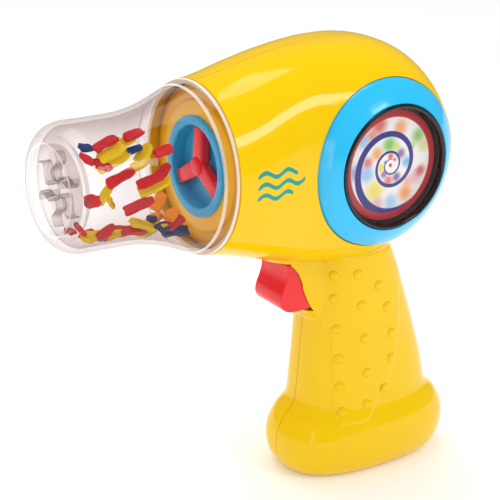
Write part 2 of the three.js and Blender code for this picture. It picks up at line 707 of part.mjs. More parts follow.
// ---- foam bits --------------------------------------------------------------------------------
// Each bit is a flat offcut of foam: [colour, length, width, place, turn in degrees].
const FOAM_YELLOW = 0xf2d21c;
const FOAM_RED = 0xd92b2f;
const FOAM_BLUE = 0x2b4a8c;
const FOAM_ORANGE = 0xf09a1e;
const FOAM_BITS = [
  [FOAM_YELLOW, 13, 6, [-99, -6, -22.2], [8, -6, 20]],
  [FOAM_BLUE, 11, 6, [-87.5, -8, -24.4], [-12, -12, -25]],
  [FOAM_YELLOW, 11, 5, [-114, -6, -21.6], [8, 2, 5]],
  [FOAM_ORANGE, 9, 6, [-89, 6, -22.5], [-10, -15, 40]],
  [FOAM_YELLOW, 15, 5, [-115, -6, 9], [30, -14, 12]],
  [FOAM_RED, 13, 4, [-113, -8, 2.5], [30, -14, 12]],
  [FOAM_YELLOW, 14, 5, [-98, -9, -3], [50, -42, 0]],
  [FOAM_RED, 13, 4, [-104, -7, -11], [50, -42, 0]],
];
const FOAM_THICK = 2;

function foamBit(length, width) {
  const shape = new THREE.Shape([
    [-length / 2, -width * 0.3], [-length * 0.2, -width / 2], [length / 2, -width * 0.35],
    [length * 0.42, width * 0.3], [0, width / 2], [-length * 0.45, width * 0.35],
  ].map(([x, y]) => new THREE.Vector2(x, y)));
  return new THREE.ExtrudeGeometry(shape, { depth: FOAM_THICK, bevelEnabled: false });
}

// ---- assembly ---------------------------------------------------------------------------------
const toy = new THREE.Group();
toy.position.set(-FOOT_X, 0, BARREL_HEIGHT);

function add(name, shape, colour, roughness = 0.3, metalness = 0, parent = toy) {
  const geometry = shape.isBufferGeometry ? shape : toGeometry(shape);
  const material = new THREE.MeshStandardMaterial({ color: colour, roughness, metalness });
  const mesh = new THREE.Mesh(geometry, material);
  mesh.name = name;
  parent.add(mesh);
  return mesh;
}

const whole = housing();
const RIGHT_HALF = block([-200, SEAM, -200], [200, 100, 200]);
const LEFT_HALF = block([-200, -100, -200], [200, -SEAM, 200]);
add('left_shell', whole.intersect(LEFT_HALF), YELLOW, 0.22);
add('right_shell', whole.intersect(RIGHT_HALF), YELLOW, 0.22);

add('nozzle', nozzle(), 0xf2efec, 0.08);
add('front_bulkhead', bulkhead(), 0xfbb414, 0.35);
add('fan_cup', fanCup(), 0x36a6d6, 0.3);
add('fan', fan(), RED, 0.3);
add('fan_shaft', bar(SHAFT_R, -71.5, -12.6, X_AXIS, [0, 0, 0], FINE), STEEL, 0.3, 1);
add('shaft_bush', tube(3.1, SHAFT_R + 0.2, -68, -64, X_AXIS), ACETAL, 0.5);
add('fan_gear', alongX(spurGear(FAN_GEAR_TEETH, 4.5, SHAFT_R + 0.1), -58), ACETAL, 0.5);
add('crown_pinion', alongX(spurGear(CROWN_PINION_TEETH, 5.4, SHAFT_R + 0.1), -18.9), ACETAL, 0.5);

add('crown_gear', crownGear(), ACETAL, 0.5);
add('disc_axle', axle(), STEEL, 0.3, 1);
for (const [name, side] of [['left', -1], ['right', 1]]) {
  add(`side_ring_${name}`, sideRing(side), BLUE, 0.25);
  add(`bezel_${name}`, bezel(side), BLACK, 0.15);
  add(`window_${name}`, lens(side), 0xf4f6f7, 0.05);
  add(`spiral_disc_${name}`, spiralDisc(side), 0xf2f0ee, 0.4);
  add(`axle_bush_${name}`, axleBush(side), ACETAL, 0.5);
}

add('motor_can', motorCan(), STEEL, 0.35, 1);
add('motor_end_cap', motorEndCap(), 0xe9e6dc, 0.6);
add('motor_shaft', bar(1, -59.6, -27, X_AXIS, [0, 0, MOTOR_Z], FINE), STEEL, 0.3, 1);
const pinion = spurGear(MOTOR_PINION_TEETH, 5, 1.1);
pinion.rotateZ(Math.PI / MOTOR_PINION_TEETH);
add('motor_pinion', alongX(pinion, -58.3).translate([0, 0, MOTOR_Z]), BRASS, 0.3, 1);
add('gearbox_base', gearboxBase(), ACETAL, 0.5);
add('gearbox_cover', gearboxCover(), ACETAL, 0.5);
add('shaft_bracket', shaftBracket(), ACETAL, 0.5);

add('trigger', trigger(), RED, 0.25);
const pin = bar(PIN_R, -11.1, 11.1, null, [TRIGGER_PIVOT[0], 0, TRIGGER_PIVOT[1]]);
add('trigger_pin', pin, STEEL, 0.3, 1);
add('trigger_spring', triggerSpring(), STEEL, 0.3, 1);
add('switch_body', switchBody(), BLACK, 0.6);
add('switch_plunger', switchPlunger(), ACETAL, 0.5);

add('battery_box', batteryBox(), BLACK, 0.5);
add('battery_1', cell(-CELL_Y, 1), 0x3b4a56, 0.35, 0.6);
add('battery_2', cell(CELL_Y, -1), 0x3b4a56, 0.35, 0.6);
add('contact_plate_front', contactPlate(true), STEEL, 0.3, 1);
add('contact_plate_rear', contactPlate(false), STEEL, 0.3, 1);
add('contact_spring_1', contactSpring(-CELL_Y, 1), STEEL, 0.3, 1);
add('contact_spring_2', contactSpring(CELL_Y, -1), STEEL, 0.3, 1);
add('battery_door', batteryDoor(), YELLOW, 0.3);
const doorScrew = add('battery_door_screw', screw(9, 1), STEEL, 0.35, 1);
doorScrew.position.set(DOOR_SCREW_X, 0, FOOT_BOTTOM + 1.3);
doorScrew.rotation.x = -Math.PI / 2;

SCREWS.forEach(([x, z], i) => {
  const mesh = add(`shell_screw_${i + 1}`, screw(13.6, 2), STEEL, 0.35, 1);
  mesh.position.set(x, 6.1, z);
});

const WIRE_R = 0.7;
const RED_WIRE = [
  [3.6, 2.6, -66.2], [3.2, 3, -72], [6, 4, -80], [12, 4, -90], [14, 4, -104], [12, 4, -118],
  [6, 5, -127], [-4, 6, -131.6],
];
const BLACK_WIRE = [
  [44, -5, -131.6], [42, -5, -126], [34, -6, -112], [18, -8, -88], [14, -9, -60], [4, -10, -40],
  [-10, -9, -30], [-18, -6, -20], [-19.6, -4, -16],
];
const MOTOR_WIRE = [
  [3, 2, -57], [3.4, 3, -52], [2, 6, -45], [-2, 9, -38], [-8, 9, -30], [-17, 6, -20], [-19.6, 4, -16],
];
add('wire_battery_switch', wire(RED_WIRE, WIRE_R, 20), 0xc22222, 0.5);
add('wire_battery_motor', wire(BLACK_WIRE, WIRE_R, 20), 0x1c1c1c, 0.5);
add('wire_switch_motor', wire(MOTOR_WIRE, WIRE_R, 14), 0xc22222, 0.5);

FOAM_BITS.forEach(([colour, length, width, place, turn], i) => {
  const mesh = add(`foam_bit_${i + 1}`, foamBit(length, width), colour, 0.9);
  mesh.position.set(...place);
  mesh.rotation.set(...turn.map((angle) => THREE.MathUtils.degToRad(angle)));
});

export default toy;
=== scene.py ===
"""Toy hair dryer: moulded shells, a clear nozzle of foam bits, a fan, and a disc on each side."""
import math

import bmesh
import bpy
from mathutils import Matrix, Vector


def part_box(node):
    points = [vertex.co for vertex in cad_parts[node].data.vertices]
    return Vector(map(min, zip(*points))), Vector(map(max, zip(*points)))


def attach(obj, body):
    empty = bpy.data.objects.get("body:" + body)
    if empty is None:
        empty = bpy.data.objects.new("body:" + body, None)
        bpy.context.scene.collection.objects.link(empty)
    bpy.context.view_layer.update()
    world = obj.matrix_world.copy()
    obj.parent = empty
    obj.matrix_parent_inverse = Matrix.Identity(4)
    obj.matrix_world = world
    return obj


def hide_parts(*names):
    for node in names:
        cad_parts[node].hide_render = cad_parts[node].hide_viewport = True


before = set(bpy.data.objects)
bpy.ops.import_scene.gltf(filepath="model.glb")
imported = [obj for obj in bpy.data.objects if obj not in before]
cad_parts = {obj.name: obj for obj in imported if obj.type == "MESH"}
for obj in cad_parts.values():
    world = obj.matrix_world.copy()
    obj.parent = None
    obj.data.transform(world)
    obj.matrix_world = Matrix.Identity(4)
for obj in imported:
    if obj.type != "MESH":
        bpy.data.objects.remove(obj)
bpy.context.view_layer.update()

bpy.ops.object.select_all(action="DESELECT")

# ---- camera, floor and studio ------------------------------------------------------------------
# The toy stands on a pale table in a white room. A soft box high on the right leaves a bright
# streak along the barrel, a broad one hangs over it, and a tall narrow one stands at the front.
axle_low, axle_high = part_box("disc_axle")
HUB = (Vector(axle_low) + Vector(axle_high)) / 2     # where the barrel's axis crosses the disc axle


def spot(x, y, z):
    """A place in millimetres from the hub, as metres in the frame."""
    return HUB + Vector((x, y, z)) / 1000


def linear(colour):
    """An sRGB hex colour as linear red, green, blue and alpha."""
    parts = [int(colour[i:i + 2], 16) / 255 for i in (1, 3, 5)]
    return [p / 12.92 if p < 0.04045 else ((p + 0.055) / 1.055) ** 2.4 for p in parts] + [1.0]


def add_node(owner, kind, links=None, **settings):
    """Adds a node to a material or a world: links are its inputs, as values or sockets."""
    node = owner.node_tree.nodes.new(kind)
    for name, value in settings.items():
        setattr(node, name, value)
    for name, value in (links or {}).items():
        if isinstance(value, bpy.types.NodeSocket):
            owner.node_tree.links.new(value, node.inputs[name])
        else:
            node.inputs[name].default_value = value
    return node


GRAIN_DEPTH = 0.0002      # metres, of the finest dents in a moulded face


def moulded(name, colour, shade, roughness=0.2, flow=0.02, grain=0.0006, dent=0.03, ior=1.53):
    """Moulded plastic: colour and shade drift over flow metres, and the gloss over the grain."""
    material = bpy.data.materials.new(name)
    material.use_nodes = True
    shader = material.node_tree.nodes["Principled BSDF"]
    place = add_node(material, "ShaderNodeTexCoord").outputs["Object"]
    drift = add_node(material, "ShaderNodeTexNoise",
                     {"Vector": place, "Scale": 1 / flow, "Detail": 2.0})
    tint = add_node(material, "ShaderNodeMix",
                    {0: drift.outputs["Fac"], 6: linear(colour), 7: linear(shade)},
                    data_type="RGBA")
    fine = add_node(material, "ShaderNodeTexNoise",
                    {"Vector": place, "Scale": 1 / grain, "Detail": 3.0})
    gloss = add_node(material, "ShaderNodeMapRange",
                     {"Value": fine.outputs["Fac"], "To Min": roughness * 0.8,
                      "To Max": roughness * 1.25})
    bump = add_node(material, "ShaderNodeBump",
                    {"Height": fine.outputs["Fac"], "Strength": dent, "Distance": GRAIN_DEPTH})
    tree = material.node_tree
    tree.links.new(tint.outputs[2], shader.inputs["Base Color"])
    tree.links.new(gloss.outputs["Result"], shader.inputs["Roughness"])
    tree.links.new(bump.outputs["Normal"], shader.inputs["Normal"])
    shader.inputs["IOR"].default_value = ior
    return material


# The camera looks a little down from in front of the toy's left side. The columns of its matrix
# are its right, its up, its back and its place in metres.
camera = bpy.data.objects.new("camera", bpy.data.cameras.new("camera"))
bpy.context.collection.objects.link(camera)
camera.data.sensor_width = 36
camera.data.lens = 107.007
camera.data.clip_start = 0.05
camera.matrix_world = Matrix((
    (0.82916, 0.16922, -0.53279, -0.40685),
    (-0.55820, 0.30213, -0.77274, -0.49733),
    (0.03020, 0.93813, 0.34497, 0.33512),
    (0, 0, 0, 1)))
bpy.context.scene.camera = camera

# A sheet of white card on the table: matt and even, so the toy's shadow on it stays soft.
bpy.ops.mesh.primitive_plane_add(size=6, location=(0, 0, 0))
floor = bpy.context.object
floor.name = "floor"
card = moulded("white_card", "#FFFFFF", "#FBFBFB", 0.7, flow=0.3, grain=0.002, dent=0.0)
card.node_tree.nodes["Principled BSDF"].inputs["Emission Color"].default_value = (1, 1, 1, 1)
card.node_tree.nodes["Principled BSDF"].inputs["Emission Strength"].default_value = 0.12
floor.data.materials.append(card)

room = bpy.data.worlds.new("white_room")
room.use_nodes = True
# The walls look pure white and light the toy softly. Gloss sees them dim, as between dark flags.
SEEN, LIGHTING, IN_GLOSS = 1.0, 0.9, 0.22
ray = add_node(room, "ShaderNodeLightPath").outputs
known = {"camera": ray["Is Camera Ray"], "glossy": ray["Is Glossy Ray"],
         "through": ray["Is Transmission Ray"]}
for name, operation, clamped, *terms in [
        ["mirrored", "SUBTRACT", True, "glossy", "through"],
        ["lit", "MULTIPLY_ADD", False, "mirrored", IN_GLOSS - LIGHTING, LIGHTING],
        ["wall", "MULTIPLY_ADD", False, "camera", SEEN - LIGHTING, "lit"]]:
    known[name] = add_node(room, "ShaderNodeMath",
                           {i: known.get(term, term) for i, term in enumerate(terms)},
                           operation=operation, use_clamp=clamped).outputs[0]
sky = room.node_tree.nodes["Background"]
sky.inputs["Color"].default_value = (1, 1, 1, 1)
room.node_tree.links.new(known["wall"], sky.inputs["Strength"])
bpy.context.scene.world = room
bpy.context.scene.view_settings.view_transform = "Standard"     # bright toy colours stay bright
bpy.context.scene.cycles.transparent_max_bounces = 32   # the clear nozzle is many walls deep


def soft_box(name, place, aim, wide, high, power):
    """A rectangular studio light: place, aim and size in metres, and power in watts."""
    light = bpy.data.lights.new(name, "AREA")
    light.shape = "RECTANGLE"
    light.size = wide
    light.size_y = high
    light.energy = power
    holder = bpy.data.objects.new(name, light)
    bpy.context.collection.objects.link(holder)
    holder.location = place
    holder.rotation_euler = (Vector(aim) - Vector(place)).to_track_quat("-Z", "Y").to_euler()


soft_box("key_box", (0.17, -0.56, 0.6), (-0.07, -0.03, 0.18), 0.22, 0.15, 0.8)
soft_box("top_box", (-0.1, 0.25, 0.9), (-0.02, 0, 0.15), 0.5, 0.5, 2.2)
soft_box("front_box", (-0.75, -0.75, 0.25), (-0.02, 0, 0.12), 0.1, 0.5, 0.35)

# ---- body shells -------------------------------------------------------------------------------
# The barrel, handle, trigger collar and foot are two glossy yellow ABS mouldings, left and right,
# screwed together on a parting line. The corners between them are blended, and the wall is 2.2 mm.
WALL, SEAM = 2.2, 0.15          # wall thickness, and each shell's distance from the parting plane
FRONT_EDGE = -74.7              # of the shells, behind the nozzle's flange
BOXY, ROUNDED = 2.5, 2.2        # squareness of a hoop: 2 is an ellipse, and more is boxier
BODY = [
    # distance from the axle, half height, half width, squareness
    [-82, 37, 37, 2], [-78, 37, 37, 2], [-75, 37, 37, 2], [-71, 37.7, 37.15, 2.05],
    [-67, 38.3, 37.2, 2.1], [-60, 39.9, 37.2, 2.2], [-54, 41.6, 36.9, 2.3], [-48, 43.2, 36.4, 2.35],
    [-42, 44.5, 36.0, 2.45], [-37, 45.6, 35.8, 2.5], [-31, 46.7, 36.4, 2.5], [-26, 47.5, 37.6, 2.5],
    [-19, 48.3, 39.6, 2.5], [-13, 48.8, 41.2, 2.5], [-6, 49, 42.5, 2.5], [0, 49, 43, 2.5],
]
# Behind the axle the body is domed, fuller from above than from the side. The last hoop stops
# just short of the tip, so that it isn't a point.
REAR, HALF_HEIGHT, HALF_WIDTH = 46, 49, 43
FROM_SIDE, FROM_ABOVE = 2.1, 3
for turn in range(1, 13):
    back = math.sin(turn / 12 * math.pi / 2) * 0.999
    BODY.append([REAR * back, HALF_HEIGHT * (1 - back ** FROM_SIDE) ** (1 / FROM_SIDE),
                 HALF_WIDTH * (1 - back ** FROM_ABOVE) ** (1 / FROM_ABOVE), BOXY - 0.5 * back])
HANDLE = [
    # height from the axle, front, rear, half width
    [-22, -12.3, 13, 21.4], [-34, -12.5, 21, 21], [-42, -12.7, 24.7, 20.6],
    [-50, -12.9, 28.2, 20.3], [-57, -13.2, 31.8, 20], [-65, -13.7, 35.2, 19.7],
    [-72, -14.1, 38.2, 19.7],
    [-80, -14.6, 41.3, 19.8], [-87, -15, 44.1, 20], [-95, -15.4, 46.9, 20.3],
    [-102, -15.8, 49.4, 20.7], [-110, -16.3, 51.8, 21.2], [-118, -16.7, 53.8, 21.6],
    [-126, -17, 55.5, 22], [-134, -17.2, 56.8, 22.3],
]
COLLAR = [
    # the same, for the collar that the trigger comes out of
    [-30, -38.5, -2, 11.9], [-36, -38.8, -2, 12], [-46, -38.4, -2, 12.2], [-50, -37.2, -2, 12.3],
    [-56, -31.6, -2, 12.3], [-62, -27.6, -2, 12.4], [-68, -25, -2, 12.3], [-73, -21, -3, 11.8],
    [-77, -16.6, -4, 10.8], [-80, -12, -5, 9],
]
FOOT_MIDDLE, WIDEST = 19.5, -139.5      # along the barrel, and the height of its widest hoop
FOOT_STEPS = 8
FOOT = []
# From the flat bottom out to the widest hoop, and from there in to the neck inside the handle.
for turn in range(0, FOOT_STEPS + 1):
    lean = math.sin(turn / FOOT_STEPS * math.pi / 2)
    rise = math.cos(turn / FOOT_STEPS * math.pi / 2)
    FOOT.append([WIDEST - 15.5 * rise, FOOT_MIDDLE - 36 - 10.2 * lean,
                 FOOT_MIDDLE + 36 + 10.2 * lean, 18.5 + 8.5 * lean])
for turn in range(1, FOOT_STEPS + 1):
    lean = math.cos(turn / FOOT_STEPS * math.pi / 2)
    rise = math.sin(turn / FOOT_STEPS * math.pi / 2)
    FOOT.append([WIDEST + 19.5 * rise, FOOT_MIDDLE - 30 - 16.2 * lean,
                 FOOT_MIDDLE + 30 + 16.2 * lean, 17 + 10 * lean])

body_hoops = [(spot(x, 0, 0), (0, wide, high), power) for x, high, wide, power in BODY]
handle_hoops = [(spot((front + rear) / 2, 0, z), ((rear - front) / 2, wide, 0), BOXY)
                for z, front, rear, wide in HANDLE]
collar_hoops = [(spot((front + rear) / 2, 0, z), ((rear - front) / 2, wide, 0), ROUNDED)
                for z, front, rear, wide in COLLAR]
foot_hoops = [(spot((front + rear) / 2, 0, z), ((rear - front) / 2, wide, 0), BOXY)
              for z, front, rear, wide in FOOT]


def pick(piece, test, kind="VERT"):
    """Selects, in edit mode, each vertex, edge or face of the piece that passes the test."""
    bpy.ops.mesh.select_mode(type=kind)
    bpy.ops.mesh.select_all(action="DESELECT")
    mesh = bmesh.from_edit_mesh(piece.data)
    parts = {"VERT": mesh.verts, "EDGE": mesh.edges, "FACE": mesh.faces}[kind]
    for part in parts:
        if test(part):
            part.select_set(True)
    mesh.select_flush_mode()
    bmesh.update_edit_mesh(piece.data)


HOOP_POINTS = 48
HOOP_STEP = math.radians(360 / HOOP_POINTS)


def square_hoop(piece, centre, half, old, new):
    """Makes the selected hoop boxier or rounder, by sizing its vertices angle by angle."""
    mesh = bmesh.from_edit_mesh(piece.data)
    mesh.verts.index_update()
    first = 0 if half[0] else 2
    angles = {}
    for vertex in [v for v in mesh.verts if v.select]:
        away = vertex.co - centre
        across = abs(away[first]) / (half[first] / 1000)
        side = abs(away.y) / (half[1] / 1000)
        turn = math.atan2(side ** (old / 2), across ** (old / 2))
        angles[vertex.index] = round(turn / HOOP_STEP)
    change = 2 / new - 2 / old
    for step in range(1, HOOP_POINTS // 4):
        angle = HOOP_STEP * step
        size = [1, math.sin(angle) ** change, 1]
        size[first] = math.cos(angle) ** change
        pick(piece, lambda v, step=step: angles.get(v.index) == step)
        bpy.ops.transform.resize(value=size, center_override=centre)
    pick(piece, lambda v: v.index in angles)


def loft(name, hoops):
    """A closed form over a row of hoops, each with its centre, half sizes in mm and squareness."""
    centre, half, power = hoops[0]
    upright = half[0] == 0
    bpy.ops.mesh.primitive_circle_add(vertices=HOOP_POINTS, radius=0.001, location=centre,
                                      rotation=(0, math.pi / 2 if upright else 0, 0))
    piece = bpy.context.object
    piece.name = name
    bpy.ops.object.transform_apply(location=True, rotation=True, scale=True)
    bpy.ops.object.mode_set(mode="EDIT")
    bpy.ops.mesh.select_all(action="SELECT")
    bpy.ops.transform.resize(value=[h or 1 for h in half], center_override=centre)
    if power != 2:
        square_hoop(piece, centre, half, 2, power)
    bpy.ops.mesh.edge_face_add()
    for next_centre, next_half, next_power in hoops[1:]:
        bpy.ops.mesh.extrude_region_move(
            TRANSFORM_OT_translate={"value": next_centre - centre})
        size = [b / a if a else 1 for a, b in zip(half, next_half)]
        bpy.ops.transform.resize(value=size, center_override=next_centre)
        if abs(next_power - power) > 0.01:
            square_hoop(piece, next_centre, next_half, power, next_power)
        centre, half, power = next_centre, next_half, next_power
    bpy.ops.mesh.select_all(action="SELECT")
    bpy.ops.mesh.normals_make_consistent(inside=False)
    bpy.ops.object.mode_set(mode="OBJECT")
    finish_with(piece, "SUBSURF", levels=1, render_levels=1)
    return piece


def finish_with(piece, kind, **settings):
    """Adds a modifier to the piece and applies it."""
    bpy.context.view_layer.objects.active = piece
    modifier = piece.modifiers.new(kind.lower(), kind)
    for name, value in settings.items():
        setattr(modifier, name, value)
    bpy.ops.object.modifier_apply(modifier=modifier.name)


def merge_pieces(pieces, name):
    """Joins pieces into the first one as one object."""
    bpy.ops.object.select_all(action="DESELECT")
    for piece in pieces:
        piece.select_set(True)
    bpy.context.view_layer.objects.active = pieces[0]
    if len(pieces) > 1:
        bpy.ops.object.join()
    bpy.ops.object.select_all(action="DESELECT")
    pieces[0].name = name
    return pieces[0]


def smooth_where(piece, test, rounds):
    """Softens the part of a dense mesh that passes the test."""
    pick(piece, test)
    bpy.ops.mesh.vertices_smooth(factor=0.5, repeat=rounds)


def from_hub(point):
    """A place in metres in the frame, as millimetres from the hub."""
    return (point - HUB) * 1000


forms = [loft("body_form", body_hoops), loft("handle_form", handle_hoops),
         loft("collar_form", collar_hoops), loft("foot_form", foot_hoops)]
skin = merge_pieces(forms, "skin")
finish_with(skin, "REMESH", mode="VOXEL", voxel_size=0.001, adaptivity=0)
finish_with(skin, "SMOOTH", factor=0.5, iterations=8)
bpy.ops.object.mode_set(mode="EDIT")


def in_neck(vertex):
    """The corner under the barrel, all round the handle and the collar."""
    p = from_hub(vertex.co)
    return -56 < p.z < -36 and -42 < p.x < 40


def in_ankle(vertex):
    """The corner between the handle and the foot."""
    return -134 < from_hub(vertex.co).z < -114


def on_collar(vertex):
    """The lower edge of the trigger collar, where it runs into the handle."""
    p = from_hub(vertex.co)
    return p.x < 2 and -90 < p.z < -50


smooth_where(skin, in_neck, 14)
smooth_where(skin, in_ankle, 30)
smooth_where(skin, on_collar, 6)


def on_grip(vertex):
    """The raised panel on each side of the handle, which the grip bumps stand on."""
    p = from_hub(vertex.co)
    if not -127 < p.z < -46 or abs(p.y) < 9:
        return False
    narrowed = max((-p.z - 84) / 43, 0)      # from 0, half way down, to 1 at the bottom
    rounded = max((62 + p.z) / 16, 0)        # from 0, 16 mm down, to 1 at the top
    rear = 26.5 - 18 * narrowed ** 2.2 - 8 * rounded ** 2
    front = -9 + 0.05 * (-82 - p.z) if p.z < -82 else -12
    return front < p.x < rear


GRIP_RAISED = 0.0006      # metres
pick(skin, on_grip)
bpy.ops.transform.shrink_fatten(value=GRIP_RAISED)
smooth_where(skin, on_grip, 2)
bpy.ops.object.mode_set(mode="OBJECT")


def cutter(name, points, low, high):
    """A bar of the outline's [x, z] points in mm, between two distances from the parting plane."""
    bpy.ops.mesh.primitive_circle_add(vertices=len(points), radius=0.001)
    tool = bpy.context.object
    tool.name = name
    bpy.ops.object.mode_set(mode="EDIT")
    for i, (x, z) in enumerate(points):
        pick(tool, lambda v, i=i: v.index == i)
        mesh = bmesh.from_edit_mesh(tool.data)
        mesh.verts.ensure_lookup_table()
        bpy.ops.transform.translate(value=spot(x, low, z) - mesh.verts[i].co)
    bpy.ops.mesh.select_all(action="SELECT")
    bpy.ops.mesh.edge_face_add()
    bpy.ops.mesh.extrude_region_move(
        TRANSFORM_OT_translate={"value": (0, (high - low) / 1000, 0)})
    bpy.ops.mesh.select_all(action="SELECT")
    bpy.ops.mesh.normals_make_consistent(inside=False)
    bpy.ops.object.mode_set(mode="OBJECT")
    return tool


def rod(name, x, z, radius, low, high, steps=32):
    """A round cutter along Y between two distances from the parting plane."""
    bpy.ops.mesh.primitive_cylinder_add(
        vertices=steps, radius=radius / 1000, depth=(high - low) / 1000,
        location=spot(x, (low + high) / 2, z), rotation=(math.pi / 2, 0, 0))
    tool = bpy.context.object
    tool.name = name
    bpy.ops.object.transform_apply(location=True, rotation=True, scale=True)
    return tool


# The slot is cut through the collar, and the room behind it lets the trigger swing back.
SLOT_HALF_WIDTH, ROOM_HALF_WIDTH = 14, 10.5
TRIGGER_SLOT = [
    [-60, -47.4], [-33, -47.4], [-28.8, -49.4], [-25.6, -53], [-23.4, -57.6], [-22, -63.5],
    [-22, -68], [-23, -71], [-25, -72.6], [-60, -72.6],
]
TRIGGER_ROOM = [[-60, -47.8], [-24, -47.8], [-24, -41.5], [-3, -41.5], [-3, -72.6], [-60, -72.6]]
SHELL_SCREWS = [[-56, 31], [10, 42], [-50, -32], [26, -92], [-18, -138.5], [57.6, -138.5]]
RING_HOLE, SCREW_HOLE = 36.9, 3.2       # radii

shells = {}
# ABS from a polished mould: a bright, clear gloss over an almost even yellow.
yellow_abs = moulded("glossy_yellow_abs", "#F1C700", "#EFC200", 0.09, flow=0.03, dent=0.012,
                     ior=1.38)
tree = yellow_abs.node_tree

# The printed mark: three teal puffs of air, as wavy lines, behind the nozzle on each side.
place = add_node(yellow_abs, "ShaderNodeTexCoord").outputs["Object"]
from_axle = add_node(yellow_abs, "ShaderNodeVectorMath", {0: place, 1: HUB},
                     operation="SUBTRACT")
in_mm = add_node(yellow_abs, "ShaderNodeVectorMath",
                 {0: from_axle.outputs[0], 1: (1000, 1000, 1000)}, operation="MULTIPLY")
split = add_node(yellow_abs, "ShaderNodeSeparateXYZ", {0: in_mm.outputs[0]})
known = {"across": split.outputs["X"], "up": split.outputs["Z"]}
WAVE_LENGTH, WAVE_HEIGHT = 11, 1.1
LINE_EDGE = 1.05, 0.85      # from no ink to full ink, out from the middle of a line
printed = tree.nodes["Mix"].outputs[2]
for middle, height, half_length in [(-57, 4.6, 9), (-55, 0, 11), (-58, -4.6, 8)]:
    for name, operation, *terms in [
            ["turn", "MULTIPLY", "across", 2 * math.pi / WAVE_LENGTH], ["swing", "SINE", "turn"],
            ["wave", "MULTIPLY", "swing", WAVE_HEIGHT], ["level", "SUBTRACT", "up", "wave"],
            ["above", "SUBTRACT", "level", height], ["beside", "SUBTRACT", "across", middle],
            ["along", "ABSOLUTE", "beside"], ["beyond", "SUBTRACT", "along", half_length],
            ["past", "MAXIMUM", "beyond", 0.0]]:
        known[name] = add_node(yellow_abs, "ShaderNodeMath",
                               {i: known.get(term, term) for i, term in enumerate(terms)},
                               operation=operation).outputs[0]
    both = add_node(yellow_abs, "ShaderNodeCombineXYZ", {0: known["past"], 1: known["above"]})
    gap = add_node(yellow_abs, "ShaderNodeVectorMath", {0: both.outputs[0]}, operation="LENGTH")
    ink = add_node(yellow_abs, "ShaderNodeMapRange",
                   {"Value": gap.outputs["Value"], "From Min": LINE_EDGE[0],
                    "From Max": LINE_EDGE[1]})
    printed = add_node(yellow_abs, "ShaderNodeMix",
                       {0: ink.outputs["Result"], 6: printed, 7: linear("#1F9A8E")},
                       data_type="RGBA").outputs[2]
tree.links.new(printed, tree.nodes["Principled BSDF"].inputs["Base Color"])

for side, name, node in [(-1, "left_shell_moulding", "left_shell"),
                         (1, "right_shell_moulding", "right_shell")]:
    bpy.ops.object.select_all(action="DESELECT")
    skin.select_set(True)
    bpy.context.view_layer.objects.active = skin
    bpy.ops.object.duplicate()
    shell = bpy.context.object
    shell.name = name
    bpy.ops.object.mode_set(mode="EDIT")
    bpy.ops.mesh.select_all(action="SELECT")
    bpy.ops.mesh.bisect(plane_co=spot(0, SEAM * side, 0), plane_no=(0, side, 0), clear_inner=True)
    bpy.ops.mesh.select_all(action="SELECT")
    bpy.ops.mesh.bisect(plane_co=spot(FRONT_EDGE, 0, 0), plane_no=(-1, 0, 0), clear_outer=True)
    bpy.ops.object.mode_set(mode="OBJECT")
    finish_with(shell, "SOLIDIFY", thickness=WALL / 1000, offset=-1)
    tools = [
        rod("ring_hole", 0, 0, RING_HOLE, *sorted((side * 20, side * 60)), steps=128),
        cutter("trigger_slot", TRIGGER_SLOT, -SLOT_HALF_WIDTH, SLOT_HALF_WIDTH),
    ]
    if side == 1:
        tools += [rod("screw_hole", x, z, SCREW_HOLE, 6, 60) for x, z in SHELL_SCREWS]
    # The slot and the room overlap, so each is cut by its own boolean.
    hole_punch = merge_pieces(tools, "hole_punch")
    room_punch = cutter("trigger_room", TRIGGER_ROOM, -ROOM_HALF_WIDTH, ROOM_HALF_WIDTH)
    for tool in (hole_punch, room_punch):
        finish_with(shell, "BOOLEAN", operation="DIFFERENCE", object=tool, solver="MANIFOLD")
        bpy.data.objects.remove(tool)
    shell.data.materials.clear()
    shell.data.materials.append(yellow_abs)
    bpy.ops.object.select_all(action="DESELECT")
    shell.select_set(True)
    bpy.ops.object.shade_smooth_by_angle(angle=math.radians(35))
    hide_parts(node)
    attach(shell, "housing")
    shells[side] = shell
bpy.data.objects.remove(skin)

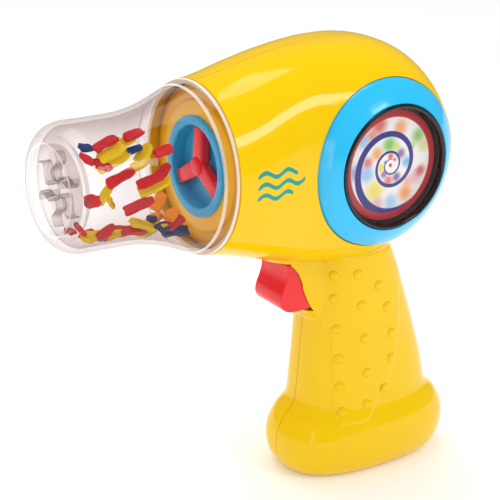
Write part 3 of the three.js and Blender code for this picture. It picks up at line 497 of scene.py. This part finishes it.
# ---- grip bumps --------------------------------------------------------------------------------
# Round studs moulded on the grip panels, about 4 mm across and 1 mm high, with a soft foot. They
# are part of the shells' ABS, and stand square to the surface under them.
STUD_RADIUS, STUD_FLATNESS, STUD_SUNK = 0.0023, 0.52, 0.0001      # metres, but for the ratio
GRIP_STUDS = [
    # along the barrel and up, in mm
    [-9.2, -55.6], [-8.7, -66.7], [-7.2, -81.3], [-6, -95.5], [-5.2, -109.1], [-4.2, -121.5],
    [0.2, -55], [3.3, -70.5], [5.9, -86.9], [7.8, -104], [8.2, -119.6], [11.7, -62.2],
    [17.7, -73.7], [21, -87.3], [21.4, -99.7], [18.2, -113.8],
]
for side, name in [(-1, "grip_studs_left"), (1, "grip_studs_right")]:
    shell = shells[side]
    studs = []
    for x, z in GRIP_STUDS:
        _, foot, normal, _ = shell.ray_cast(spot(x, 60 * side, z), (0, -side, 0))
        bpy.ops.mesh.primitive_uv_sphere_add(segments=20, ring_count=12, radius=STUD_RADIUS)
        stud = bpy.context.object
        bpy.ops.object.mode_set(mode="EDIT")
        bpy.ops.mesh.select_all(action="SELECT")
        bpy.ops.mesh.bisect(plane_co=(0, 0, -0.0009), plane_no=(0, 0, -1), clear_outer=True)
        bpy.ops.mesh.select_all(action="SELECT")
        bpy.ops.transform.resize(value=(1, 1, STUD_FLATNESS), center_override=(0, 0, 0))
        pick(stud, lambda v: v.co.z < -0.00025)
        bpy.ops.transform.resize(value=(1.15, 1.15, 1), center_override=(0, 0, 0))
        bpy.ops.object.mode_set(mode="OBJECT")
        stud.data.transform(Matrix.Translation(foot - normal * STUD_SUNK)
                            @ normal.to_track_quat("Z", "Y").to_matrix().to_4x4())
        studs.append(stud)
    piece = merge_pieces(studs, name)
    piece.select_set(True)
    bpy.ops.object.shade_smooth()
    piece.data.materials.append(yellow_abs)
    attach(piece, "housing")

# ---- nozzle ------------------------------------------------------------------------------------
# One clear polystyrene moulding with 2 mm walls, closed at the front by a sunk face with swept
# vanes on it. Its spigot slips inside the shells' front edge. Polystyrene is clear and glossy.


def turned(name, outline, along, steps=96, closed=True):
    """A piece turned about the barrel's or the axle's axis: outline is [radius, distance] in mm."""
    axis = Vector((1, 0, 0) if along == "X" else (0, 1, 0))

    def place(radius, distance):
        """A point of the outline, above the axis."""
        return spot(distance, 0, radius) if along == "X" else spot(0, distance, radius)

    bpy.ops.mesh.primitive_plane_add(size=0.001, location=place(*outline[0]))
    piece = bpy.context.object
    piece.name = name
    bpy.ops.object.transform_apply(location=True, rotation=True, scale=True)
    bpy.ops.object.mode_set(mode="EDIT")
    bpy.ops.mesh.select_mode(type="VERT")
    bpy.ops.mesh.select_all(action="SELECT")
    bpy.ops.mesh.merge(type="CENTER")
    last = place(*outline[0])
    for radius, distance in outline[1:]:
        bpy.ops.mesh.extrude_vertices_move(
            TRANSFORM_OT_translate={"value": place(radius, distance) - last})
        last = place(radius, distance)
    if closed:
        ends = [0, len(outline) - 1]
        pick(piece, lambda v: v.index in ends)
        bpy.ops.mesh.edge_face_add()
    bpy.ops.mesh.select_all(action="SELECT")
    bpy.ops.mesh.spin(steps=steps, angle=2 * math.pi, center=HUB, axis=axis)
    bpy.ops.mesh.select_all(action="SELECT")
    bpy.ops.mesh.remove_doubles(threshold=1e-6)
    bpy.ops.mesh.normals_make_consistent(inside=False)
    bpy.ops.object.mode_set(mode="OBJECT")
    smooth_shade(piece)
    return piece


def smooth_shade(piece, angle=35):
    """Smooths the faces that meet at less than the angle, and leaves sharper edges."""
    bpy.ops.object.select_all(action="DESELECT")
    piece.select_set(True)
    bpy.context.view_layer.objects.active = piece
    bpy.ops.object.shade_smooth_by_angle(angle=math.radians(angle))
    bpy.ops.object.select_all(action="DESELECT")


def smooth_line(points, pieces, closed=False):
    """A finer outline through points, on a smooth curve, with the given pieces between each two."""
    ends = [points[-1], *points, *points[:2]] if closed else [points[0], *points, points[-1]]
    fine = []
    for a, b, c, d in zip(ends, ends[1:], ends[2:], ends[3:]):
        for i in range(pieces):
            t = i / pieces
            fine.append([0.5 * (2 * q + (r - p) * t + (2 * p - 5 * q + 4 * r - s) * t ** 2
                                + (3 * q - p - 3 * r + s) * t ** 3)
                         for p, q, r, s in zip(a, b, c, d)])
    return fine if closed else fine + [points[-1]]


def shoulder(across, forward, steps):
    """The nozzle's rounded front: a quarter of an ellipse, from its waist to its rim."""
    turns = [step / steps * math.pi / 2 for step in range(steps + 1)]
    return [[18.9 + across * math.cos(a), -130.5 - forward * math.sin(a)] for a in turns]


NOZZLE_FLARE = [[36.5, -76.8], [35, -80], [32.6, -86], [30.3, -92], [28.4, -99], [27, -108],
                [26.6, -122]]
outside = [[36.2, -75.1], [36.8, -75.6]] + smooth_line(NOZZLE_FLARE, 4)
outside += shoulder(7.7, 10.4, 12)
inside = smooth_line([[32.4, -78.2], [33, -80], [30.6, -86], [28.3, -92], [26.4, -99], [25, -108],
                      [24.6, -122]], 4)
inside += shoulder(5.7, 5.0, 8)[:-2]
mouth = [[18.5, -140.7], [18.1, -139.8], [17.9, -136], [17.5, -134.6], [16.6, -134.1], [0, -134]]
nozzle = turned("clear_nozzle", outside + mouth + [[0, -132], [18.4, -132]] + inside[::-1]
                + [[32.3, -70.8], [34.3, -70.8], [34.3, -75.1]], "X", steps=144)

# The vanes: six ribs on the sunk front face, each swept into an S and rounded at its edges.
VANES, VANE_START, VANE_LENGTH, VANE_SWAY = 6, 3.5, 12, 2.3
vanes = []
for i in range(VANES):
    swept = [[VANE_SWAY * math.sin((z - VANE_START) / VANE_LENGTH * 2 * math.pi), z,
              0.75 + 0.25 * math.sin(z / 3)]
             for z in [VANE_START + VANE_LENGTH / 16 * step for step in range(17)]]
    rib = [[x - half, z] for x, z, half in swept] + [[x + half, z] for x, z, half in swept[::-1]]
    vane = cutter("vane", rib, -2.2, 2)
    finish_with(vane, "BEVEL", width=0.0006, segments=3, limit_method="ANGLE",
                angle_limit=math.radians(50))
    vane.data.transform(Matrix.Translation(spot(-136.1, 0, 0))
                        @ Matrix.Rotation(2 * math.pi * i / VANES, 4, "X")
                        @ Matrix.Rotation(math.pi / 2, 4, "Z") @ Matrix.Translation(-HUB))
    smooth_shade(vane, 50)
    vanes.append(vane)
nozzle_vanes = merge_pieces(vanes, "nozzle_vanes")


def clear_plastic(name, tint, shade_edge_tint, gloss, ripple, painted_highlight_amount, painted_highlight_from=0.45):
    """Thin clear plastic: seen straight through and shiny outside, with painted shade (greyer) and
    a painted white highlight at its edges.
    """
    material = bpy.data.materials.new(name)
    material.use_nodes = True
    tree = material.node_tree
    tree.nodes.remove(tree.nodes["Principled BSDF"])
    place = add_node(material, "ShaderNodeTexCoord").outputs["Object"]
    flow = add_node(material, "ShaderNodeTexNoise", {"Vector": place, "Scale": 90, "Detail": 1.0})
    wave = add_node(material, "ShaderNodeBump",
                    {"Height": flow.outputs["Fac"], "Strength": ripple, "Distance": 0.001})
    rim = add_node(material, "ShaderNodeLayerWeight",
                   {"Blend": 0.35, "Normal": wave.outputs["Normal"]})
    # Painted shade: the see-through tint turns greyer towards grazing edges, for what refraction
    # shows there.
    body = add_node(material, "ShaderNodeMix", {0: rim.outputs["Facing"], 6: linear(tint),
                                                7: linear(shade_edge_tint)}, data_type="RGBA")
    through = add_node(material, "ShaderNodeBsdfTransparent", {"Color": body.outputs[2]})
    shine = add_node(material, "ShaderNodeBsdfAnisotropic",
                     {"Roughness": gloss, "Normal": wave.outputs["Normal"]})
    outer = add_node(material, "ShaderNodeNewGeometry").outputs["Backfacing"]
    facing = add_node(material, "ShaderNodeFresnel",
                      {"IOR": 1.59, "Normal": wave.outputs["Normal"]})
    mirror = add_node(material, "ShaderNodeMapRange",
                      {"Value": facing.outputs["Fac"], "To Max": 0.45})
    share = add_node(material, "ShaderNodeMapRange",
                     {"Value": outer, "To Min": mirror.outputs["Result"], "To Max": 0.0})
    skin = add_node(material, "ShaderNodeMixShader",
                    {0: share.outputs["Result"], 1: through.outputs["BSDF"],
                     2: shine.outputs["BSDF"]})
    # Painted highlight: a white diffuse layer at the edges stands for the light that gathers in the
    # edges of clear plastic.
    painted_edge_highlight = add_node(material, "ShaderNodeBsdfDiffuse", {"Color": linear("#FFFFFF")})
    edge = add_node(material, "ShaderNodeMapRange",
                    {"Value": rim.outputs["Facing"], "From Min": painted_highlight_from,
                     "From Max": 0.95, "To Max": painted_highlight_amount})
    skin = add_node(material, "ShaderNodeMixShader",
                    {0: edge.outputs["Result"], 1: skin.outputs["Shader"],
                     2: painted_edge_highlight.outputs["BSDF"]})
    tree.links.new(skin.outputs["Shader"], tree.nodes["Material Output"].inputs["Surface"])
    return material


# Polystyrene from a polished mould: clear as glass on its walls. Painted shade makes it greyer at
# its edges, and more so through its ribs.
clear_styrene = clear_plastic("clear_polystyrene", "#FFFEFE", "#DED3D1", 0.05, 0.04, 0.22)
clear_rib = clear_plastic("clear_polystyrene_rib", "#FAF7F6", "#9C9290", 0.08, 0.04, 0.3)
# A painted highlight: this finish is white diffuse almost all over, for light piped through the
# nozzle's edges.
highlight_styrene = clear_plastic("clear_polystyrene_painted_highlight", "#FFFEFE", "#FFFFFF", 0.2, 0.02, 0.75,
                           painted_highlight_from=-0.8)
for piece in (nozzle, nozzle_vanes):
    piece.data.materials.clear()
    piece.data.materials.append(clear_styrene if piece == nozzle else clear_rib)
    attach(piece, "housing")
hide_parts("nozzle")
# The flange's bead, a moulded line in front of it and the mouth's inner lip get a painted
# highlight: white, for the light they gather.
nozzle.data.materials.append(highlight_styrene)
for face in nozzle.data.polygons:
    away = (face.center - HUB) * 1000
    out = math.hypot(away.y, away.z)
    bead = away.x > -77 and out > 35
    line = -81.2 < away.x < -80.3 and out > 34
    lip = away.x < -138.6 and out < 18.7
    face.material_index = int(bead or line or lip)

# ---- bulkhead and fan cup ----------------------------------------------------------------------
# The bulkhead closes the shells behind the nozzle: amber-yellow ABS with a raised round plug. The
# light-blue ABS cup is pressed through it. Both come from satin moulds, so their gloss is soft.
plug = turned("amber_bulkhead", [
    [19.8, -71.8], [20.2, -72.3], [26.6, -72.3], [27.4, -71.9], [27.8, -71], [28.2, -70.4],
    [34.2, -70.4], [34.2, -68.4], [24, -68.4], [24, -70], [19.8, -70]], "X")
plug.data.materials.append(
    moulded("amber_yellow_abs", "#FBC108", "#F9B80A", 0.3, flow=0.02, grain=0.0008))
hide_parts("front_bulkhead")
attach(plug, "housing")

cup = turned("blue_fan_cup", [
    [17.4, -73.4], [17.8, -73.9], [18.4, -74], [20.6, -74], [21.2, -73.8], [21.4, -73.2],
    [21.4, -72.5], [19.4, -72.5], [19.4, -66], [3.4, -66], [3.4, -67.6], [16.2, -67.6],
    [17, -67.9], [17.4, -68.8]], "X")
cup.data.materials.append(
    moulded("light_blue_abs", "#2FA9DE", "#2AA2D6", 0.25, flow=0.02, grain=0.0008))
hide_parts("fan_cup")
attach(cup, "housing")

# ---- fan ---------------------------------------------------------------------------------------
# Three square arms on a domed hub, one red ABS moulding pushed onto the shaft. Its mould was
# polished, which gives it a bright, clean gloss.
hub = turned("red_fan", [[1.6, -69.8], [4.2, -69.8], [4.2, -72.2], [3.9, -73.2], [3.1, -73.7],
                         [1.2, -73.9], [0, -73.9], [0, -71.6], [1.6, -71.6]], "X", steps=48)
arms = [hub]
ARM_SIZE, ARM_MIDDLE = (0.0046, 0.0064, 0.0151), 0.0094      # metres, and out from the axis
for i in range(3):
    bpy.ops.mesh.primitive_cube_add(size=1, location=(0, 0, 0))
    arm = bpy.context.object
    bpy.ops.transform.resize(value=ARM_SIZE)
    bpy.ops.object.transform_apply(location=False, rotation=False, scale=True)
    bpy.ops.object.mode_set(mode="EDIT")
    bpy.ops.mesh.select_all(action="SELECT")
    bpy.ops.transform.translate(value=(0, 0, ARM_MIDDLE))
    pick(arm, lambda v: v.co.z < 0.005)
    bpy.ops.transform.resize(value=(1, 1.1, 1), center_override=(0, 0, 0.0017))
    pick(arm, lambda v: v.co.z > 0.015)
    bpy.ops.transform.resize(value=(0.92, 0.94, 1), center_override=(0, 0, 0.0169))
    bpy.ops.object.mode_set(mode="OBJECT")
    finish_with(arm, "BEVEL", width=0.0008, segments=3)
    smooth_shade(arm, 50)
    arm.data.transform(Matrix.Translation(spot(-70.5, 0, 0))
                       @ Matrix.Rotation(2 * math.pi * i / 3, 4, "X"))
    arms.append(arm)
fan = merge_pieces(arms, "red_fan")
red_abs = moulded("glossy_red_abs", "#EE1A22", "#E5141C", 0.2, flow=0.015, grain=0.0006)
fan.data.materials.clear()
fan.data.materials.append(red_abs)
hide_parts("fan")
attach(fan, "fan_drive")

# ---- side rings, bezels and windows ------------------------------------------------------------
# On each side a convex blue ABS ring snaps into the shell, a black bezel cup sits inside it, and
# a thin clear window with a slight crown covers the disc. All have a polished mould's hard gloss.
ring_blue = moulded("sky_blue_abs", "#2BC1F5", "#27B9F0", 0.14, flow=0.03, dent=0.015)
bezel_black = moulded("gloss_black_abs", "#12100E", "#1C1613", 0.08, flow=0.01, dent=0.01)
# The window gets a faint painted shade at its edges (#F6F6F6) and no painted highlight.
window_clear = clear_plastic("clear_window_styrene", "#FFFFFF", "#F6F6F6", 0.02, 0.02, 0.0)
RING_CROWN = smooth_line([[36.5, 33], [36, 34.2], [34.6, 35.6], [32, 38], [29.6, 39.8],
                          [28, 40.9]], 5)
for side, hand in [(-1, "left"), (1, "right")]:
    ring = turned(f"blue_ring_{hand}", [[r, side * y] for r, y in (
        [[36.6, 28], [36.6, 32.4]] + RING_CROWN + [[27.5, 41.05], [27.3, 40.9], [27.3, 31.7],
         [25.4, 31.7], [25.4, 29.7], [29.4, 29.7], [30.6, 35.4], [34.5, 28]])], "Y", steps=144)
    ring.data.materials.append(ring_blue)
    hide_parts(f"side_ring_{hand}")
    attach(ring, "housing")
    bezel = turned(f"black_bezel_{hand}", [[r, side * y] for r, y in [
        [25.2, 33.6], [25.2, 40.6], [25.3, 41.2], [25.7, 41.65], [26.2, 41.78], [26.7, 41.6],
        [27, 41.1], [27, 32], [3.4, 32], [3.4, 33.6]]], "Y", steps=144)
    bezel.data.materials.append(bezel_black)
    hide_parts(f"bezel_{hand}")
    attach(bezel, "housing")
    window = turned(f"clear_window_{hand}", [[r, side * y] for r, y in [
        [0, 39.6], [12, 39.45], [24.9, 39], [24.95, 39.2], [24.95, 40.1], [24.8, 40.3],
        [18, 40.85], [9, 41.15], [0, 41.25]]], "Y", closed=False)
    window.data.materials.append(window_clear)
    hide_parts(f"window_{hand}")
    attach(window, "housing")

# ---- spiral discs ------------------------------------------------------------------------------
# White ABS discs on the axle with a printed spiral: a violet band that widens as it runs out into
# a red rim, soft patches of colour between its turns, and a red centre. The print is satin.
disc_print = moulded("printed_white_abs", "#F4F1EF", "#EFEBEA", 0.35, flow=0.02)
tree = disc_print.node_tree
shader = tree.nodes["Principled BSDF"]

place = add_node(disc_print, "ShaderNodeTexCoord").outputs["Object"]
centred = add_node(disc_print, "ShaderNodeVectorMath", {0: place, 1: HUB}, operation="SUBTRACT")
# The place on the disc's face in millimetres from its centre.
flat = add_node(disc_print, "ShaderNodeVectorMath", {0: centred.outputs[0], 1: (1000, 0, 1000)},
                operation="MULTIPLY").outputs[0]
split = add_node(disc_print, "ShaderNodeSeparateXYZ", {0: flat})
length = add_node(disc_print, "ShaderNodeVectorMath", {0: flat}, operation="LENGTH")
known = {"across": split.outputs["X"], "up": split.outputs["Z"],
         "radius": length.outputs["Value"]}

ink = linear("#F4F1EF")
# Soft patches: [across, up, half size in mm, ink].
PATCHES = [
    [-1.3, 9.2, 3.1, "#74C043"], [14.1, 11.1, 3.1, "#86C452"], [4.1, 15.8, 3.1, "#F2A35A"],
    [-7.2, 18.2, 3.6, "#DD5A45"], [-15.0, 12.5, 3.1, "#A9C8EC"], [-7.6, 6.0, 2.6, "#EBA63C"],
    [-12.2, 2.5, 2.3, "#E0605A"], [-12.3, -2.4, 3.1, "#8EC1EC"], [-7.7, -10.1, 4.1, "#F0D92C"],
    [1.5, -16.4, 3.1, "#A7C9EF"], [9.1, -13.3, 3.3, "#F59B36"], [13.9, -7.1, 3.1, "#E9B3B9"],
    [16.7, -4.6, 2.3, "#D8494F"], [8.6, 0.4, 2.1, "#6DB3EA"], [5.2, 4.5, 2.1, "#8C4B9C"],
    [3.7, -5.6, 1.9, "#6F4B9C"], [-0.7, -6.7, 2.2, "#E2635B"], [-3.3, -3.5, 1.5, "#8457A6"],
    [-4.9, -0.5, 1.8, "#F4D324"], [2.8, 7.9, 1.7, "#CFDB4E"], [17.4, 6.7, 2.6, "#E3DC8E"],
    [-5.9, -16.2, 2.8, "#E9B9B8"], [9.9, -8.6, 2.1, "#F0B58E"], [-0.1, 3.9, 1.4, "#E23F3E"],
    [2.1, 2.1, 0.8, "#D93A44"], [-2.8, 1.6, 0.7, "#4A5DB0"], [-18.2, -0.8, 3.1, "#A79BD4"],
    [-10.7, 14.2, 2.1, "#E58E74"], [11.2, 7.0, 1.5, "#B9D98A"],
]
for across, up, half, colour in PATCHES:
    gap = add_node(disc_print, "ShaderNodeVectorMath", {0: flat, 1: (across, 0, up)},
                   operation="DISTANCE")
    spread = add_node(disc_print, "ShaderNodeMapRange",
                      {"Value": gap.outputs["Value"], "From Min": half * 1.75,
                       "From Max": half * 0.3, "To Max": 0.9}, interpolation_type="SMOOTHSTEP")
    ink = add_node(disc_print, "ShaderNodeMix", {0: spread.outputs["Result"], 6: ink,
                                                 7: linear(colour)}, data_type="RGBA").outputs[2]
# The spiral band starts START mm out and grows by the same factor each turn, as its width does.
START, GROWTH = 3.1, 0.847
for name, operation, *terms in [
        ["angle", "ARCTAN2", "up", "across"], ["turns", "DIVIDE", "angle", 2 * math.pi],
        ["scaled", "DIVIDE", "radius", START], ["grown", "LOGARITHM", "scaled", math.e],
        ["laps", "DIVIDE", "grown", GROWTH], ["from_start", "SUBTRACT", "turns", 0.5],
        ["beside", "SUBTRACT", "laps", "from_start"], ["nearest", "ROUND", "beside"],
        ["off", "SUBTRACT", "beside", "nearest"], ["astray", "ABSOLUTE", "off"]]:
    known[name] = add_node(disc_print, "ShaderNodeMath",
                           {i: known.get(term, term) for i, term in enumerate(terms)},
                           operation=operation).outputs[0]
# Each print: [what it follows, 0 at this value, 1 at this value, ink].
for follows, none, full, colour in [
        ["astray", 0.125, 0.095, "#2D2886"], ["radius", 20.6, 21.1, "#C2232D"],
        ["radius", 2.6, 2.3, "#F6F2F0"], ["radius", 0.95, 0.75, "#D9202A"]]:
    mask = add_node(disc_print, "ShaderNodeMapRange",
                    {"Value": known[follows], "From Min": none, "From Max": full},
                    interpolation_type="SMOOTHSTEP")
    ink = add_node(disc_print, "ShaderNodeMix", {0: mask.outputs["Result"], 6: ink,
                                                 7: linear(colour)}, data_type="RGBA").outputs[2]
tree.links.new(ink, shader.inputs["Base Color"])

for side, hand in [(-1, "left"), (1, "right")]:
    disc = turned(f"spiral_disc_{hand}_printed", [[r, side * y] for r, y in [
        [0, 36.8], [0, 37.3], [23.8, 37.3], [24.1, 37.1], [24.1, 35.6], [4.6, 35.6],
        [4.6, 34.1], [2.15, 34.1], [2.15, 36.8]]], "Y")
    disc.data.materials.append(disc_print)
    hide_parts(f"spiral_disc_{hand}")
    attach(disc, "discs")

# ---- trigger -----------------------------------------------------------------------------------
# A finger hook in glossy red ABS, hollowed at the front and well rounded along its edges. It
# swings on a steel pin through its top, and has the same gloss as the fan.
TRIGGER_HALF_WIDTH = 10.1
TRIGGER_OUTLINE = [
    [-24.6, -44], [-19, -42.4], [-14, -44.5], [-10.4, -51], [-9, -60], [-9.4, -66.6],
    [-12.6, -69.9], [-20, -71], [-27, -71.2], [-31.6, -69.8], [-34.1, -66.4], [-33.9, -62.4],
    [-32.2, -58], [-31.2, -54], [-31.2, -50], [-31.2, -48.6], [-28.4, -48.2], [-26.6, -46.4],
]
trigger = cutter("red_trigger", smooth_line(TRIGGER_OUTLINE, 3, closed=True),
                 -TRIGGER_HALF_WIDTH, TRIGGER_HALF_WIDTH)
finish_with(trigger, "BEVEL", width=0.0038, segments=7, limit_method="ANGLE",
            angle_limit=math.radians(50))
smooth_shade(trigger, 40)
trigger.data.materials.clear()
trigger.data.materials.append(red_abs)
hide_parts("trigger")
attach(trigger, "trigger")

# ---- foam bits ---------------------------------------------------------------------------------
# Offcuts of craft foam sheet, 2 mm thick and torn at the edges, in yellow, red, orange and navy.
# The first eight stand for CAD nodes, and the others lie among them or fly over them. The foam is
# matt, and its open cells speckle the colour.
FOAM_THICK = 0.002      # metres
BITS = [
    # ink, length, width, place, turn in degrees, and the CAD node it stands for
    ["yellow", 13, 6, [-99, -6, -22.2], [8, -6, 20], "foam_bit_1"],
    ["navy", 11, 6, [-87.5, -8, -24.4], [-12, -12, -25], "foam_bit_2"],
    ["yellow", 11, 5, [-114, -6, -21.6], [8, 2, 5], "foam_bit_3"],
    ["orange", 9, 6, [-89, 6, -22.5], [-10, -15, 40], "foam_bit_4"],
    ["yellow", 15, 5, [-115, -6, 9], [30, -14, 12], "foam_bit_5"],
    ["red", 13, 4, [-113, -8, 2.5], [30, -14, 12], "foam_bit_6"],
    ["yellow", 14, 5, [-98, -9, -3], [50, -42, 0], "foam_bit_7"],
    ["red", 13, 4, [-104, -7, -11], [50, -42, 0], "foam_bit_8"],
    ["red", 9, 5, [-90, -11, -19], [20, -20, 10], None],
    ["yellow", 10, 5, [-93, -9, -20.5], [0, 14, 30], None],
    ["red", 12, 4, [-106, -3, -21.8], [0, 6, -10], None],
    ["red", 9, 5, [-125, -4, -20.6], [12, 8, 30], None],
    ["navy", 5, 4, [-121, -7, -21.8], [0, 0, 60], None],
    ["yellow", 9, 4, [-101, -3, 5], [20, -30, 0], None],
    ["red", 7, 4, [-94, -9, 3], [10, -30, 20], None],
    ["red", 7, 5, [-126, -9, -5], [60, 10, 0], None],
    ["orange", 8, 5, [-93, -4, -12], [30, -40, 30], None],
    ["navy", 8, 3, [-106, -5, 12], [20, -14, 0], None],
    ["yellow", 8, 4, [-110, 6, -12], [20, 60, 0], None],
    ["navy", 7, 4, [-95, -2, -20], [10, 10, 70], None],
    ["orange", 7, 4, [-83, 4, -26.5], [0, -14, 10], None],
    ["red", 11, 4, [-119, -7, 17], [25, -14, 10], None],
    ["yellow", 12, 5, [-117.5, -9, 13.5], [30, -16, 10], None],
    ["navy", 6, 4, [-127, -6, 16], [20, 10, 0], None],
    ["red", 8, 4, [-127.5, -8, 12], [30, 40, 0], None],
    ["red", 9, 5, [-121, -9, 9], [30, 25, 0], None],
    ["yellow", 9, 4, [-109, -5, 16], [20, -14, 8], None],
    ["red", 8, 4, [-107, -8, 19], [20, -20, 0], None],
    ["yellow", 9, 5, [-102, -7, 10.5], [20, -60, 0], None],
    ["red", 8, 5, [-94, -9, 11], [20, -20, 0], None],
    ["yellow", 9, 4, [-117, -3, -5], [20, -70, 0], None],
    ["red", 12, 4, [-100.5, -10, 0], [50, -42, 0], None],
    ["yellow", 9, 6, [-125, -7, -20.4], [8, 0, 20], None],
    ["red", 9, 4, [-120, -9, -18.6], [10, -20, 15], None],
    ["red", 10, 5, [-108, -10, -20.4], [5, 0, -15], None],
    ["yellow", 12, 6, [-103.5, -10, -18.6], [15, 22, -10], None],
    ["navy", 8, 5, [-95, -12, -20], [20, 10, 20], None],
    ["navy", 9, 5, [-87, -12, -23], [30, 25, 10], None],
    ["orange", 7, 5, [-90.5, -10, -16], [20, -10, 30], None],
    ["red", 8, 3, [-131, -8, -16], [20, 50, 0], None],
    ["red", 7, 4, [-129, 4, -21], [0, 20, 40], None],
]
FOAM = {
    "yellow": moulded("yellow_craft_foam", "#F3D51A", "#D9B90E", 0.9, 0.006, 0.0012, 0.6),
    "red": moulded("red_craft_foam", "#DF2A30", "#BC1F28", 0.9, 0.006, 0.0012, 0.6),
    "orange": moulded("orange_craft_foam", "#F79A1C", "#E8820F", 0.9, 0.006, 0.0012, 0.6),
    "navy": moulded("navy_craft_foam", "#2D4B94", "#1F2C52", 0.9, 0.006, 0.0012, 0.6),
}
for number, (ink_name, length, width, middle, turn, node) in enumerate(BITS):
    bpy.ops.mesh.primitive_cube_add(size=1, location=(0, 0, 0))
    bit = bpy.context.object
    bit.name = f"foam_{ink_name}_{number + 1}"
    bpy.ops.transform.resize(value=(length / 1000, width / 1000, FOAM_THICK))
    bpy.ops.object.transform_apply(location=False, rotation=False, scale=True)
    bpy.ops.object.mode_set(mode="EDIT")
    bpy.ops.mesh.select_all(action="SELECT")
    bpy.ops.mesh.subdivide(number_cuts=3)
    bpy.ops.transform.vertex_random(offset=0.0011, uniform=0.2, normal=0.1, seed=number)
    pick(bit, lambda v, torn_end=length / 2600: v.co.x > torn_end)
    bpy.ops.transform.resize(value=(1, 0.7, 0.8))
    bpy.ops.object.mode_set(mode="OBJECT")
    finish_with(bit, "SUBSURF", levels=2, render_levels=2)
    lean = Matrix.Rotation(math.radians(turn[2]), 4, "Z")
    lean = Matrix.Rotation(math.radians(turn[1]), 4, "Y") @ lean
    lean = Matrix.Rotation(math.radians(turn[0]), 4, "X") @ lean
    bit.data.transform(
        Matrix.Translation(spot(*middle) + Vector((0, 0, FOAM_THICK / 2))) @ lean)
    smooth_shade(bit, 60)
    bit.data.materials.append(FOAM[ink_name])
    if node:
        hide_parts(node)
    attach(bit, "housing")

# ---- battery door ------------------------------------------------------------------------------
# A flat door let into the foot's bottom and held by one screw. It is ABS from a satin mould, a
# softer gloss than the shells'. The CAD node has its true shape.
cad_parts["battery_door"].data.materials.clear()
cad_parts["battery_door"].data.materials.append(
    moulded("satin_yellow_abs", "#FDC80F", "#F8C20C", 0.35, flow=0.02, dent=0.05))

# ---- works inside ------------------------------------------------------------------------------
# Gears, motor, switch, batteries, wires and screws keep their CAD shapes, with the finish of what
# they are made of: waxy white acetal, satin ABS, printed cell sleeves, dull PVC, and bright zinc
# plate and brass.
INNER = {
    "white_acetal": (moulded("white_acetal", "#F0EDE3", "#E6E2D6", 0.4, 0.01, 0.0005, 0.05), [
        "shaft_bush", "fan_gear", "crown_pinion", "crown_gear", "axle_bush_left",
        "axle_bush_right", "gearbox_base", "gearbox_cover", "shaft_bracket", "switch_plunger",
        "motor_end_cap"]),
    "black_abs": (moulded("satin_black_abs", "#1B1A19", "#242220", 0.45, 0.01, 0.0005, 0.05), [
        "switch_body", "battery_box"]),
    "cell_sleeve": (moulded("printed_cell_sleeve", "#2F3E4C", "#3A4C5C", 0.3, 0.02, 0.0006), [
        "battery_1", "battery_2"]),
    "red_pvc": (moulded("red_pvc_insulation", "#C22222", "#A81C1C", 0.5, 0.004), [
        "wire_battery_switch", "wire_switch_motor"]),
    "black_pvc": (moulded("black_pvc_insulation", "#1C1C1C", "#262626", 0.5, 0.004), [
        "wire_battery_motor"]),
    "steel": (moulded("bright_zinc_steel", "#B9BCC0", "#A6A9AE", 0.3, 0.006, 0.0004, 0.08, 1.5), [
        "fan_shaft", "disc_axle", "motor_can", "motor_shaft", "trigger_pin", "trigger_spring",
        "contact_plate_front", "contact_plate_rear", "contact_spring_1", "contact_spring_2",
        "battery_door_screw"] + [f"shell_screw_{i}" for i in range(1, 7)]),
    "brass": (moulded("cut_brass", "#D1AE5C", "#BF9A48", 0.28, 0.006, 0.0004, 0.08, 1.5), [
        "motor_pinion"]),
}
for metal in ("steel", "brass"):
    INNER[metal][0].node_tree.nodes["Principled BSDF"].inputs["Metallic"].default_value = 1.0
for finish, nodes in INNER.values():
    for node in nodes:
        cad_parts[node].data.materials.clear()
        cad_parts[node].data.materials.append(finish)
